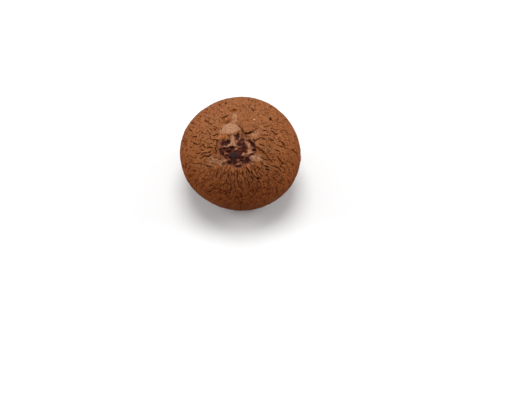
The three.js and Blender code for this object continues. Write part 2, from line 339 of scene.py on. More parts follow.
# Cracks that stand out, as bent lines in burst millimetres: points, half-width at the middle, depth from 0 to 1.
LONG_CRACKS = [
    # right of the burst
    ([(12.0, 11.1), (13.3, 10.5), (15.7, 10.3), (16.5, 9.5)], 0.26, 0.75), ([(17.4, 10.4), (18.7, 9.9), (19.7, 8.9), (21.2, 8.4)], 0.40, 1.0),
    ([(24.4, 11.6), (26.4, 11.5), (27.5, 10.3), (29.3, 9.2), (30.8, 9.6)], 0.42, 0.95), ([(21.6, 11.4), (22.9, 12.5)], 0.24, 0.6),
    ([(22.9, 10.5), (24.3, 9.9)], 0.22, 0.6), ([(11.2, 7.6), (13.0, 7.8), (14.9, 7.5), (16.8, 8.0)], 0.22, 0.6),
    ([(12.0, 6.6), (12.6, 6.2), (13.6, 5.5), (14.8, 6.0)], 0.26, 0.75), ([(18.1, 7.2), (19.5, 5.7), (20.1, 5.3)], 0.24, 0.7),
    ([(20.1, 5.3), (21.1, 5.9), (21.6, 7.2), (22.5, 6.5)], 0.20, 0.55), ([(24.0, 7.0), (25.1, 7.7)], 0.20, 0.55), ([(24.5, 5.6), (26.9, 5.9)], 0.22, 0.6),
    ([(10.5, 3.3), (12.0, 2.5), (13.4, 1.9)], 0.34, 0.9), ([(14.7, 2.4), (16.0, 1.9), (17.3, 1.1)], 0.26, 0.75), ([(16.8, 3.4), (17.9, 4.1)], 0.20, 0.5),
    ([(19.5, 3.0), (21.9, 2.3), (23.5, 1.9), (24.9, 1.6), (24.0, 0.7)], 0.34, 0.9), ([(25.2, 2.7), (27.7, 2.9)], 0.22, 0.65),
    ([(28.4, 0.9), (30.1, 0.7), (31.8, 1.4)], 0.36, 0.9), ([(18.2, 0.6), (19.5, -0.1), (21.2, -0.4)], 0.36, 1.0), ([(10.0, 0.4), (11.2, -0.3), (13.4, -0.5)], 0.34, 0.85),
    ([(10.3, -2.3), (11.7, -3.6), (13.1, -4.5), (15.3, -4.7)], 0.34, 0.9), ([(15.6, -1.7), (16.9, -1.9)], 0.24, 0.7), ([(16.6, -2.8), (17.8, -3.4)], 0.28, 0.8),
    ([(17.3, -1.6), (18.9, -2.4)], 0.20, 0.6), ([(19.4, -2.7), (20.1, -3.9), (21.1, -5.1), (21.9, -6.1), (22.5, -7.0)], 0.40, 1.0), ([(22.3, -6.4), (23.8, -5.9)], 0.34, 0.9),
    ([(17.1, -4.4), (18.6, -4.9)], 0.24, 0.65), ([(24.4, -1.3), (25.9, -1.5), (27.3, -1.9)], 0.26, 0.7), ([(22.4, -0.8), (23.5, -2.1)], 0.18, 0.5),
    ([(12.4, -7.0), (13.6, -7.6), (14.9, -7.8)], 0.44, 1.0), ([(28.8, -6.9), (30.8, -7.8)], 0.36, 0.9), ([(12.8, -8.2), (13.7, -9.0), (15.2, -9.4)], 0.36, 0.95),
    ([(16.0, -7.2), (18.2, -7.8), (20.0, -8.8), (21.6, -10.4)], 0.34, 0.9), ([(22.2, -11.0), (24.0, -11.4)], 0.42, 1.0), ([(26.2, -13.2), (28.2, -14.0)], 0.44, 1.0),
    ([(15.2, -12.0), (17.2, -13.4), (19.2, -15.2)], 0.26, 0.8), ([(19.6, -15.8), (22.2, -17.0), (24.8, -18.4)], 0.28, 0.8), ([(20.0, -12.2), (22.0, -13.6), (24.6, -16.0)], 0.26, 0.75),
    ([(29.4, -2.8), (31.2, -3.4)], 0.22, 0.6), ([(29.6, 15.6), (32.0, 15.2), (34.4, 14.2)], 0.36, 0.8), ([(31.2, 11.9), (32.8, 10.8)], 0.34, 0.85),
    # left of it
    ([(-12.0, 8.0), (-10.3, 8.4), (-8.8, 8.9)], 0.40, 1.0), ([(-13.0, 13.4), (-10.8, 12.9), (-9.5, 11.7)], 0.27, 0.75), ([(-14.4, 9.8), (-13.2, 8.3)], 0.27, 0.8),
    ([(-15.0, 10.9), (-14.4, 10.5)], 0.26, 0.8), ([(-13.8, 11.8), (-12.7, 10.9)], 0.20, 0.6), ([(-19.2, 11.2), (-17.5, 10.0), (-15.8, 8.8)], 0.27, 0.8),
    ([(-22.8, 11.3), (-20.0, 9.9)], 0.26, 0.65), ([(-19.8, 9.2), (-19.1, 8.5)], 0.26, 0.65), ([(-25.8, 7.0), (-23.3, 5.5), (-21.2, 4.4), (-20.0, 4.0), (-18.4, 4.6)], 0.32, 0.85),
    ([(-20.8, 6.3), (-19.3, 6.0)], 0.26, 0.8), ([(-24.9, 2.8), (-23.4, 3.2)], 0.40, 0.9), ([(-28.5, 1.6), (-27.0, 2.5)], 0.46, 0.9), ([(-16.5, 5.5), (-15.1, 6.0), (-13.4, 6.7)], 0.24, 0.65),
    ([(-16.0, 4.8), (-14.6, 4.7)], 0.20, 0.6), ([(-14.4, 3.6), (-11.8, 4.1)], 0.27, 0.75), ([(-14.4, 1.7), (-12.9, 2.1), (-11.4, 1.6)], 0.30, 0.8), ([(-18.1, 1.7), (-15.8, 0.7)], 0.27, 0.8),
    ([(-19.5, 2.4), (-18.7, 2.0)], 0.24, 0.7), ([(-21.0, -0.3), (-19.3, -0.6), (-17.9, 0.1)], 0.26, 0.75), ([(-23.5, 1.3), (-21.1, 1.2)], 0.22, 0.65), ([(-27.0, -1.1), (-24.8, -1.3)], 0.24, 0.65),
    ([(-26.4, -2.6), (-25.2, -2.2)], 0.24, 0.6), ([(-18.4, -3.3), (-16.7, -2.4), (-15.5, -1.5), (-14.8, -2.1), (-13.5, -2.2), (-11.8, -1.2)], 0.40, 1.0),
    ([(-22.0, 18.4), (-21.1, 17.5)], 0.26, 0.65), ([(-15.4, 19.0), (-14.4, 18.4)], 0.34, 0.75), ([(-13.5, 18.1), (-11.9, 17.1), (-11.0, 15.4)], 0.20, 0.6),
    ([(-9.6, 18.0), (-9.3, 16.2), (-8.9, 14.6)], 0.18, 0.55), ([(-8.4, 17.2), (-7.4, 18.3), (-6.2, 18.6), (-4.8, 20.0), (-4.0, 20.9)], 0.40, 0.95), ([(-18.9, 13.9), (-18.2, 13.3)], 0.26, 0.65),
    ([(-21.1, 15.3), (-19.7, 14.8)], 0.24, 0.6), ([(-16.9, 13.6), (-15.8, 14.0)], 0.22, 0.6), ([(-27.4, 16.1), (-25.5, 14.9), (-23.5, 14.2)], 0.26, 0.6), ([(-30.2, 16.4), (-27.8, 15.5)], 0.26, 0.6),
    ([(-9.2, 5.9), (-9.6, 4.4), (-9.3, 2.9)], 0.30, 0.9), ([(-9.4, 2.4), (-10.1, 1.4), (-9.6, 0.1), (-9.3, -1.2)], 0.26, 0.8), ([(-30.0, 9.2), (-28.9, 7.6), (-28.5, 5.9)], 0.40, 0.85),
    # above it
    ([(-12.9, 31.7), (-11.2, 30.2), (-9.5, 28.3)], 0.38, 0.8), ([(-5.3, 26.6), (-4.8, 24.8)], 0.26, 0.6), ([(-2.9, 24.0), (-0.7, 23.6)], 0.44, 0.9), ([(-12.0, 22.8), (-9.5, 19.1)], 0.20, 0.6),
    ([(-19.7, 24.9), (-17.9, 22.7)], 0.34, 0.6), ([(2.2, 28.1), (4.2, 27.8)], 0.34, 0.6), ([(14.0, 21.4), (16.4, 20.8)], 0.20, 0.5), ([(20.8, 14.6), (23.8, 14.9)], 0.20, 0.5),
    ([(16.6, 13.8), (17.6, 13.2)], 0.22, 0.6), ([(18.4, 13.8), (19.2, 13.4)], 0.20, 0.55), ([(8.2, 22.9), (9.0, 20.8)], 0.18, 0.45), ([(5.0, 16.8), (5.6, 15.4)], 0.18, 0.5),
    ([(0.4, 14.4), (1.0, 13.0), (1.9, 12.4), (2.3, 11.2)], 0.24, 0.6), ([(2.3, 11.6), (3.0, 10.6), (3.2, 9.2), (4.3, 8.6)], 0.26, 0.7), ([(3.9, 8.7), (4.9, 8.3), (5.6, 8.6), (6.4, 9.2), (7.2, 9.2), (8.0, 9.9)], 0.32, 0.88),
    ([(8.6, 10.2), (9.6, 11.0), (10.6, 11.2)], 0.20, 0.6),
    # the lower sides
    ([(-15.3, -16.5), (-13.2, -16.1), (-11.1, -15.5)], 0.27, 0.8), ([(-22.4, -14.2), (-20.8, -14.6)], 0.34, 0.8), ([(-14.9, -6.3), (-13.6, -6.9), (-12.4, -6.8)], 0.32, 0.8),
    ([(-20.0, -7.6), (-17.6, -8.0)], 0.24, 0.65), ([(-26.0, -6.2), (-24.4, -6.8)], 0.26, 0.65),
]

# Small dark pits: middle and radius.
PITS = [(18.7, 18.3, 1.5), (9.2, -12.9, 0.85), (22.4, -6.6, 0.7), (-28.9, 6.4, 0.85), (-6.3, 34.6, 0.8), (13.7, -8.9, 0.6), (-1.4, -10.7, 0.45), (-9.3, 4.7, 0.5), (-9.7, 2.9, 0.45), (-10.0, 1.7, 0.5), (-9.2, 0.2, 0.45), (-9.9, -0.9, 0.35),
        (6.7, -10.2, 0.42), (-2.3, 23.8, 0.6), (11.7, 13.6, 0.5), (4.8, 8.4, 0.5), (-9.8, -2.9, 0.4), (-6.5, -4.3, 0.45), (-12.6, -6.6, 0.5)]

# Where the dough is torn away and the paste shows: ellipses (middle, radii, turn) ...
WINDOWS = [
    (-1.4, -2.0, 2.45, 2.0, 15), (2.0, -1.0, 1.1, 0.45, 28), (-5.7, 3.75, 1.65, 0.8, 14), (-4.3, 4.5, 0.85, 0.8, 0), (-2.4, 1.6, 0.95, 0.55, -14), (-2.6, 2.1, 0.4, 0.5, 0),
    (0.5, 7.3, 0.5, 1.15, 4), (2.7, 5.6, 0.85, 0.52, -5), (1.4, 3.3, 0.68, 0.78, 0), (3.35, 3.4, 0.5, 0.42, -20), (8.35, 0.3, 0.72, 0.42, 0), (-7.6, 0.9, 0.55, 0.5, 20),
    (-4.5, 0.3, 0.6, 0.5, -40), (-5.7, 1.3, 0.4, 0.3, 0), (-3.2, -5.1, 0.85, 0.6, 8), (-1.0, -5.2, 0.75, 0.8, 0), (4.9, -4.7, 1.15, 0.75, 20), (1.7, -3.2, 1.0, 0.42, -4),
    (3.3, 1.5, 0.7, 0.35, 20),
]
# ... and strips (points, half-width).
WINDOW_STRIPS = [
    ([(6.5, 4.2), (7.6, 3.8), (8.4, 3.1), (8.9, 1.7)], 0.5), ([(8.2, 4.0), (8.7, 4.7)], 0.28), ([(-7.1, -0.3), (-6.5, -1.5), (-5.2, -2.0), (-4.6, -2.9)], 0.34),
    ([(6.4, -2.0), (7.6, -1.7)], 0.16), ([(1.8, -4.4), (2.7, -4.7)], 0.22), ([(-3.6, -0.6), (-4.4, -0.4)], 0.26),
]
# Dough that paste has soaked and darkened without tearing: ellipses and how strongly.
SMEARS = [
    (3.0, 0.4, 2.2, 1.7, 10, 0.85), (2.2, -3.0, 2.2, 1.2, 0, 0.80), (0.4, 8.0, 1.3, 1.5, 0, 0.7), (-8.4, 1.4, 1.3, 1.0, 60, 0.35), (4.6, -3.4, 2.2, 0.9, 15, 0.5),
    (-2.0, -5.2, 2.6, 1.3, 0, 0.75), (0.9, -7.2, 1.9, 0.55, 0, 0.85), (2.6, 5.4, 1.7, 1.3, 0, 0.65), (-5.0, 0.6, 2.4, 1.2, 0, 0.8), (2.3, 3.4, 2.0, 1.2, 0, 0.55),
    (-1.0, -0.2, 2.4, 0.8, 10, 0.45), (-4.6, -2.4, 1.4, 1.3, 0, 0.6), (8.5, 2.2, 0.9, 2.6, 0, 0.6), (-5.6, 3.6, 2.6, 1.4, 12, 0.55), (3.0, 7.4, 1.0, 1.2, 0, 0.35),
]

# Bare pale dough: ellipses (middle, radii, turn), height, paleness, raggedness ...
PALE_AREAS = [
    (-3.6, 11.6, 3.8, 2.9, 8, -0.36, 1.0, 1.0), (-4.6, 13.7, 2.3, 1.3, 25, -0.32, 0.85, 1.1), (0.1, 11.9, 1.8, 2.3, 25, -0.36, 0.80, 0.9), (-6.6, 10.2, 2.1, 2.0, 25, -0.36, 0.80, 0.9),
    (8.8, 7.4, 1.9, 1.3, 25, -0.35, 0.72, 1.0), (10.3, 9.4, 1.2, 0.9, 50, -0.3, 0.7, 0.9), (10.6, 12.0, 1.0, 1.3, 10, -0.2, 0.45, 0.9),
    (9.4, -3.7, 2.9, 1.5, 8, -0.2, 0.80, 1.0), (7.2, -3.0, 1.3, 0.9, 20, -0.3, 0.95, 0.5), (-12.2, -3.4, 2.4, 1.4, -40, -0.15, 0.62, 1.2), (-8.8, -4.7, 2.1, 1.0, -14, -0.22, 0.80, 1.3),
    (-10.8, -4.2, 1.7, 0.9, -20, -0.2, 0.78, 1.2), (-5.6, -4.4, 1.2, 0.7, 0, -0.35, 0.7, 0.7),
]
# ... and strips outside the burst (points, half-widths at the ends, height, paleness, raggedness).
PALE_STRIPS = [([(-2.8, 13.0), (-1.8, 16.2), (-1.3, 18.6), (-0.9, 20.6)], 2.1, 1.15, -0.26, 0.74, 1.6)]
# Rust-brown stains: ellipses (middle, radii, turn) and strength.
STAINS = [(-4.0, 16.0, 1.8, 0.9, 35, 1.0), (-1.8, 23.6, 2.6, 1.0, 10, 1.0), (-12.0, 30.6, 2.4, 0.9, -40, 0.8), (-7.0, 18.6, 2.0, 0.7, 35, 0.8), (-5.0, 25.4, 1.0, 1.8, 10, 0.6), (3.0, 27.8, 1.8, 0.9, 30, 0.7), (-18.8, 24.0, 1.6, 0.9, -50, 0.6),
          (-8.0, 27.0, 0.7, 1.8, 20, 0.7), (1.5, 25.6, 0.6, 1.6, -10, 0.7), (5.0, 24.5, 0.6, 1.2, -20, 0.5), (-14.5, 26.5, 0.7, 1.6, 35, 0.6), (10.0, 25.0, 0.6, 1.5, -30, 0.5),
          (12.5, 22.5, 0.6, 1.3, -40, 0.4), (-10.5, 23.0, 0.5, 1.4, 30, 0.5), (16.0, 21.0, 1.6, 0.5, 20, 0.4), (-22.0, 25.0, 1.4, 0.8, -40, 0.5), (7.6, 28.6, 1.2, 0.8, 60, 0.4), (-21.8, -14.4, 1.6, 1.0, 0, 0.6), (-10.6, 0.9, 1.6, 2.2, 20, 0.45), (12.8, 6.1, 1.4, 1.0, 0, 0.4),
          (-9.6, -8.0, 2.2, 0.9, 20, 0.35), (16.8, -2.6, 2.2, 1.0, -15, 0.45), (-28.6, 7.0, 1.6, 2.4, 20, 0.5), (26.2, -3.6, 2.4, 1.4, 0, 0.3), (8.2, 12.9, 1.8, 0.8, 20, 0.35)]
# Strands of dough stretched across the burst, in front of the paste: points, half-widths at the ends, height, paleness.
STRANDS = [
    ([(-2.2, 8.6), (-2.4, 6.6), (-2.0, 4.6), (-1.3, 3.0)], 0.75, 1.20, 0.05, 0.86), ([(-2.6, 6.4), (-2.7, 4.6), (-2.5, 3.4)], 0.4, 0.5, 0.15, 1.0),
    ([(-2.0, 3.1), (-3.8, 2.5), (-5.4, 2.1)], 0.85, 0.50, 0.05, 1.0), ([(-1.6, 3.0), (-0.4, 2.2), (0.8, 1.7), (2.3, 1.9)], 0.66, 0.34, -0.05, 0.9),
    ([(-2.3, -1.0), (-1.4, -0.1), (0.0, 0.9)], 0.28, 0.45, 0.1, 0.62), ([(-5.4, 0.4), (-5.7, -0.5), (-5.3, -1.4)], 0.48, 0.52, 0.0, 0.95), ([(-4.4, 1.1), (-3.1, 0.6)], 0.4, 0.3, 0.0, 0.6),
    ([(-5.1, -2.3), (-4.3, -3.2), (-3.4, -4.1)], 0.36, 0.30, -0.1, 0.85), ([(0.9, -4.1), (1.6, -5.2), (0.8, -6.2), (-0.3, -6.5)], 0.34, 0.42, -0.1, 0.9),
    ([(5.6, 4.0), (5.8, 2.4), (6.2, 0.4), (6.0, -1.0)], 0.85, 1.0, -0.05, 0.78), ([(7.4, -0.6), (5.8, -1.2), (4.5, -1.6), (3.3, -2.1)], 0.66, 0.80, 0.1, 1.0), ([(6.0, -3.1), (7.4, -2.9), (8.2, -3.2)], 0.36, 0.8, -0.1, 1.0),
    ([(7.4, 4.9), (7.9, 4.4)], 0.30, 0.24, 0.0, 0.95), ([(1.7, 8.8), (1.8, 7.4), (1.5, 6.2)], 0.36, 0.26, 0.0, 0.7), ([(4.4, 5.4), (4.4, 3.6), (4.5, 2.4)], 0.5, 0.45, -0.15, 0.4),
    ([(-8.6, 3.6), (-8.9, 1.6), (-8.5, 0.2)], 0.5, 0.4, -0.1, 0.15), ([(-2.2, -6.4), (-2.1, -4.6)], 0.22, 0.18, -0.25, 0.3), ([(0.0, 5.4), (-0.2, 4.0)], 0.5, 0.5, -0.05, 0.65),
    ([(0.3, 0.3), (0.9, -1.0), (1.0, -2.4), (0.4, -3.6)], 0.30, 0.26, -0.35, 0.0), ([(2.3, 4.6), (2.4, 2.6)], 0.22, 0.22, -0.2, 0.45), ([(3.0, -3.2), (4.6, -2.7), (6.0, -2.3)], 0.34, 0.3, -0.1, 0.4), ([(7.6, 1.3), (8.8, 1.2)], 0.24, 0.3, -0.2, 0.5),
    ([(-6.9, -0.2), (-7.8, -1.4)], 0.3, 0.4, -0.1, 0.3), ([(-0.1, -3.9), (0.3, -5.6)], 0.22, 0.22, -0.3, 0.35), ([(-6.8, 2.4), (-6.3, 1.7)], 0.3, 0.24, -0.05, 0.6),
]
# Orange-brown pieces of crust left inside and above the burst: ellipses and how high they stand.
CRUST_BITS = [(-7.4, 6.6, 2.9, 1.2, 10, 0.25), (-6.2, 8.5, 1.2, 0.5, 10, 0.0), (1.0, 10.0, 0.9, 0.5, 50, 0.0), (-4.6, 6.2, 0.9, 1.1, 0, 0.35), (6.4, 5.6, 1.7, 0.42, -6, 0.1), (-0.9, 8.6, 0.8, 0.7, 0, 0.0), (-3.6, 8.2, 0.9, 0.6, 0, 0.05)]
# Greyish floury streaks on the crust.
GREY_STREAKS = [([(-13.8, -2.0), (-12.4, -3.6), (-10.8, -5.2)], 1.3, 1.0), ([(-19.5, -6.6), (-16.8, -7.4)], 1.2, 0.9), ([(13.6, 0.8), (16.0, 0.3)], 1.1, 1.0),
                ([(10.6, 14.0), (12.2, 13.6)], 0.8, 0.7), ([(7.0, 25.0), (8.6, 28.0)], 1.0, 0.8), ([(12.6, -7.0), (14.8, -8.6)], 1.2, 1.2),                 ([(-19.0, 20.0), (-17.5, 20.6)], 1.1, 0.9), ([(-12.4, -6.8), (-14.6, -6.2)], 0.9, 0.9), ([(20.6, -13.0), (23.0, -15.0)], 0.8, 0.7)]

# The folds at the lower lip: turns of the grooves round the burst, in degrees, with depth and how far they run.
GROOVES = [(-157, 0.2, 17), (-148, 0.45, 19), (-131, 0.50, 20), (-122, 0.35, 18), (-111, 0.45, 20), (-103, 0.25, 15), (-92, 0.60, 23),
           (-87, 0.2, 16), (-75, 0.50, 22), (-67, 0.3, 15), (-60, 0.70, 25), (-49, 0.40, 19), (-41, 0.35, 14), (-33, 0.3, 14)]
# Where each fold between two grooves ends, from the middle of the burst.
FOLD_ENDS = [12.8, 9.9, 8.2, 7.2, 7.0, 7.6, 7.9, 8.3, 7.6, 7.0, 7.8, 8.6, 10.0]
# Cuts in and below the grooves: points, half-width, depth from 0 to 1.
FOLD_CUTS = [
    ([(-8.4, -7.8), (-9.3, -9.7), (-9.9, -12.2)], 0.21, 0.71), ([(-7.3, -10.0), (-7.7, -12.1)], 0.21, 0.76), ([(-5.4, -8.4), (-5.8, -10.6)], 0.20, 0.71),
    ([(-3.9, -9.8), (-4.0, -12.2)], 0.25, 0.80), ([(-4.8, -12.1), (-5.1, -13.5)], 0.28, 0.90), ([(-2.7, -9.0), (-2.6, -10.1)], 0.21, 0.71), ([(-0.7, -7.6), (0.2, -9.7), (0.0, -12.6)], 0.27, 0.90),
    ([(2.3, -9.2), (2.7, -10.9)], 0.21, 0.76), ([(3.5, -7.4), (5.0, -8.7), (5.9, -10.9)], 0.28, 0.90), ([(5.9, -10.9), (6.6, -12.5), (6.9, -14.0)], 0.24, 0.85), ([(6.6, -9.4), (6.8, -10.8)], 0.25, 0.85),
    ([(6.4, -6.7), (7.2, -7.2), (7.9, -7.4)], 0.25, 0.85), ([(9.1, -7.0), (10.4, -8.5)], 0.27, 0.85), ([(-2.9, -13.0), (-3.2, -15.4), (-3.4, -18.0), (-3.9, -20.2), (-5.2, -22.4)], 0.21, 0.76),
    ([(0.4, -13.2), (0.4, -15.2), (1.4, -17.4), (3.2, -20.0), (4.4, -22.6)], 0.22, 0.80), ([(4.6, -13.6), (5.4, -15.8), (5.2, -17.6)], 0.20, 0.71), ([(5.2, -17.6), (6.6, -19.6)], 0.17, 0.66),
    ([(8.0, -14.4), (9.4, -16.6), (11.4, -19.4)], 0.21, 0.76), ([(-1.2, -12.2), (-1.4, -14.0)], 0.20, 0.71), ([(-6.2, -14.2), (-6.7, -16.6)], 0.18, 0.66), ([(1.8, -12.6), (2.2, -14.6)], 0.18, 0.66),
    ([(12.0, -13.0), (13.6, -15.4), (16.0, -18.0)], 0.21, 0.76), ([(-8.9, -18.7), (-7.6, -20.2)], 0.20, 0.66), ([(7.6, -19.0), (8.0, -21.4), (9.6, -23.4)], 0.20, 0.71), ([(-12.4, -11.4), (-11.4, -13.4)], 0.20, 0.66),
    ([(9.9, -10.4), (11.6, -12.2)], 0.21, 0.76), ([(-10.8, -9.4), (-11.8, -11.4)], 0.17, 0.57), ([(-6.6, -8.6), (-6.9, -9.6)], 0.18, 0.57), ([(3.9, -9.6), (4.2, -11.4)], 0.17, 0.57), ([(8.2, -9.6), (8.8, -11.2)], 0.17, 0.57),
    ([(0.4, -24.0), (0.2, -26.0)], 0.20, 0.66), ([(-9.4, -14.2), (-9.8, -16.0)], 0.18, 0.61), ([(11.2, -9.0), (12.2, -10.6)], 0.20, 0.71), ([(1.2, -9.6), (1.3, -10.8)], 0.15, 0.57),
]

# Outline of the thick plate of crust above and right of the burst.
PLATE = [(4.0, 8.9), (6.4, 9.2), (9.6, 10.6), (11.6, 12.4), (12.6, 15.4), (12.2, 18.6), (10.6, 21.6), (7.8, 23.4), (4.6, 23.2),
         (2.0, 21.6), (0.7, 18.6), (0.7, 15.2), (2.2, 12.6), (3.2, 10.6)]


def polygon(a, b, points):
    """Distance outside a polygon, negative inside."""
    pts = np.array(points, float)
    nxt = np.roll(pts, -1, axis=0)
    best, inside = np.full(len(a), 1e9), np.zeros(len(a), bool)
    for (x0, y0), (x1, y1) in zip(pts, nxt):
        dx, dy = x1 - x0, y1 - y0
        t = np.clip(((a - x0) * dx + (b - y0) * dy) / (dx * dx + dy * dy), 0, 1)
        best = np.minimum(best, np.hypot(a - x0 - t * dx, b - y0 - t * dy))
        crosses = (y0 > b) != (y1 > b)
        inside ^= crosses & (a < (x1 - x0) * (b - y0) / np.where(y1 == y0, 1e-9, y1 - y0) + x0)
    return np.where(inside, -best, best)


def warped_ab(d, seed=11, coarse=0.34, fine=0.14, size=2.2):
    """Burst coordinates, wobbled so that drawn outlines come out torn."""
    x = d * R0
    a, b = to_ab(d)
    a = a + coarse * fbm(x, size, 2, seed) + fine * fbm(x, size * 0.34, 2, seed + 5)
    b = b + coarse * fbm(x, size, 2, seed + 1) + fine * fbm(x, size * 0.34, 2, seed + 6)
    return a, b


def paste_relief(a, b, x):
    """Height of the paste's surface over the ball, in mm."""
    dome = np.exp(-(((a + 1.4) / 2.3) ** 2 + ((b + 2.0) / 2.05) ** 2) ** 2)
    h = -1.22 + 0.34 * fbm(x, 2.0, 3, 301) + 0.14 * fbm(x, 0.8, 2, 302)
    h += 1.20 * dome
    h -= 0.03 * np.maximum(np.hypot(a, b * 1.1) - 6.5, 0) ** 2
    return h


CELLS = Cells(101)


class Tears:
    """Thin kinked cracks that grow over the crust, fork, taper off or stop at one another."""

    STEP = 0.24

    def __init__(self, seed):
        rng = np.random.default_rng(seed)
        d = rng.normal(size=(14000, 3))
        d /= np.linalg.norm(d, axis=1)[:, None]
        a, b = to_ab(d)
        s, turn = np.hypot(a, b), np.degrees(np.arctan2(b, a))
        right = smooth(-50, -25, turn) * (1 - smooth(35, 70, turn)) * smooth(6, 12, s)
        fan = smooth(-162, -148, turn) * (1 - smooth(-40, -26, turn)) * (1 - smooth(24, 34, s))
        behind = smooth(34, 50, s)
        over = smooth(17, 24, b)
        below = fan * smooth(12, 18, s)
        spacing = 1.56 + 0.52 * fan + 0.9 * fan * smooth(13, 9, s) + 0.12 * over + 1.3 * behind
        along = flow(d)
        across = np.cross(d, along)
        # cracks that are drawn are already there
        placed = np.empty((60000, 3))
        self.count = 0

        def put(points):
            placed[self.count:self.count + len(points)] = points
            self.count += len(points)

        for points, _, _ in LONG_CRACKS + FOLD_CUTS:
            for (x0, y0), (x1, y1) in zip(points, points[1:]):
                t = np.linspace(0, 1, int(math.dist((x0, y0), (x1, y1)) / 0.25) + 2)
                put(from_ab(x0 + (x1 - x0) * t, y0 + (y1 - y0) * t))

        def grow(n, start, heading, length, kink, others, near):
            """Points onwards from start, and whether the crack ran into another."""
            path, here, gone, turn_at = [], start, 0.0, rng.uniform(0.4, 1.2)
            first = heading
            while gone < length:
                way = math.cos(heading) * along[n] + math.sin(heading) * across[n]
                here = here + way * self.STEP / R0
                here = here / np.linalg.norm(here)
                gone += self.STEP
                path.append(here)
                if gone > others and len(near) and ((near - here) ** 2).sum(1).min() < (0.34 / R0) ** 2:
                    return path, True
                if gone > turn_at:
                    turn_at = gone + rng.uniform(0.45, 1.5)
                    heading = first + (heading - first) * 0.3 + rng.normal() * kink
                heading += rng.normal() * 0.06
            return path, False

        points, widths, strengths = [], [], []

        def draw(path, width, strength, open_ends):
            total = len(path) * self.STEP
            phase, pitch = rng.uniform(0, 6.28), rng.uniform(0.9, 2.0)
            for k, v in enumerate(path):
                from_start, to_end = k * self.STEP, total - k * self.STEP
                taper = min(1.0, (0.35 if open_ends[0] else 1.0) + from_start / 0.8) * min(1.0, (0.35 if open_ends[1] else 1.0) + to_end / 0.8)
                beat = 0.5 + 0.5 * math.sin(phase + 2 * math.pi * from_start / pitch)
                points.append(v)
                widths.append(width * taper * (0.72 + 0.40 * beat))
                strengths.append(strength * (0.65 + 0.35 * beat))

        for n in range(len(d)):
            if s[n] < 8.3:
                continue
            away = ((placed[:self.count] - d[n]) ** 2).sum(1)
            if away.min() < (spacing[n] / R0) ** 2:
                continue
            near = placed[:self.count][away < (9 / R0) ** 2]
            q = rng.random() ** 1.4
            q = q * (1 - 0.15 * fan[n]) * (1 + 0.15 * right[n] + 0.15 * over[n])
            width = 0.135 + 0.17 * q**1.5 + 0.02 * behind[n] - 0.02 * below[n]
            strength = 0.16 + 0.74 * q + 0.08 * fan[n] - 0.12 * over[n] - 0.16 * below[n]
            length = rng.uniform(0.8, 2.5) * (1.3 + 0.7 * fan[n] + 0.35 * right[n] + 0.15 * behind[n]) * (0.75 + 0.5 * q)
            kink = 0.64 - 0.24 * fan[n] - 0.14 * right[n] + 0.2 * behind[n]
            heading = rng.normal() * (0.50 - 0.30 * fan[n] - 0.26 * right[n] + 0.7 * behind[n])
            ahead, met_ahead = grow(n, d[n], heading, length, kink, 0.3, near)
            back, met_back = grow(n, d[n], heading + math.pi, length * rng.uniform(0.3, 1.0), kink, 0.3, near)
            path = back[::-1] + [d[n]] + ahead
            put(path)
            draw(path, width, strength, (not met_back, not met_ahead))
            while rng.random() < 0.50 + 0.12 * behind[n] - 0.22 * right[n] and len(path) > 6:
                k = int(rng.integers(2, len(path) - 2))
                side = heading + rng.choice([-1, 1]) * rng.uniform(0.7, 1.5)
                fork, met = grow(n, path[k], side, rng.uniform(0.6, 1.9) * (1 + 0.5 * behind[n]), kink, 0.75, np.concatenate([near, path]))
                put(fork)
                draw(fork, width * 0.8, strength * 0.8, (False, not met))
        self.points, self.widths, self.strengths = np.array(points), np.array(widths), np.array(strengths)
        self.tree = kdtree.KDTree(len(points))
        for n, v in enumerate(points):
            self.tree.insert(Vector(v), n)
        self.tree.balance()

    def near(self, d):
        find = self.tree.find_n
        return np.array([[hit[1] for hit in find(Vector(v), 3)] for v in d])

    def measure(self, d, ids):
        """Distance from each point to the edge of the nearest tear, negative inside it, and how deep that tear is."""
        dist = np.linalg.norm(d[:, None, :] - self.points[ids], axis=2) * R0 - self.widths[ids]
        first = dist.argmin(1)[:, None]
        return np.take_along_axis(dist, first, 1)[:, 0], np.take_along_axis(self.strengths[ids], first, 1)[:, 0]


TEARS = Tears(202)


def wobbled(d, seed, big, small):
    x = d * R0
    w = np.stack([fbm(x, 2.6, 2, seed), fbm(x, 2.6, 2, seed + 1), fbm(x, 2.6, 2, seed + 2)], 1) * big
    w += np.stack([fbm(x, 0.8, 1, seed + 3), fbm(x, 0.8, 1, seed + 4), fbm(x, 0.8, 1, seed + 5)], 1) * small
    v = x + w
    return v / np.linalg.norm(v, axis=1)[:, None]


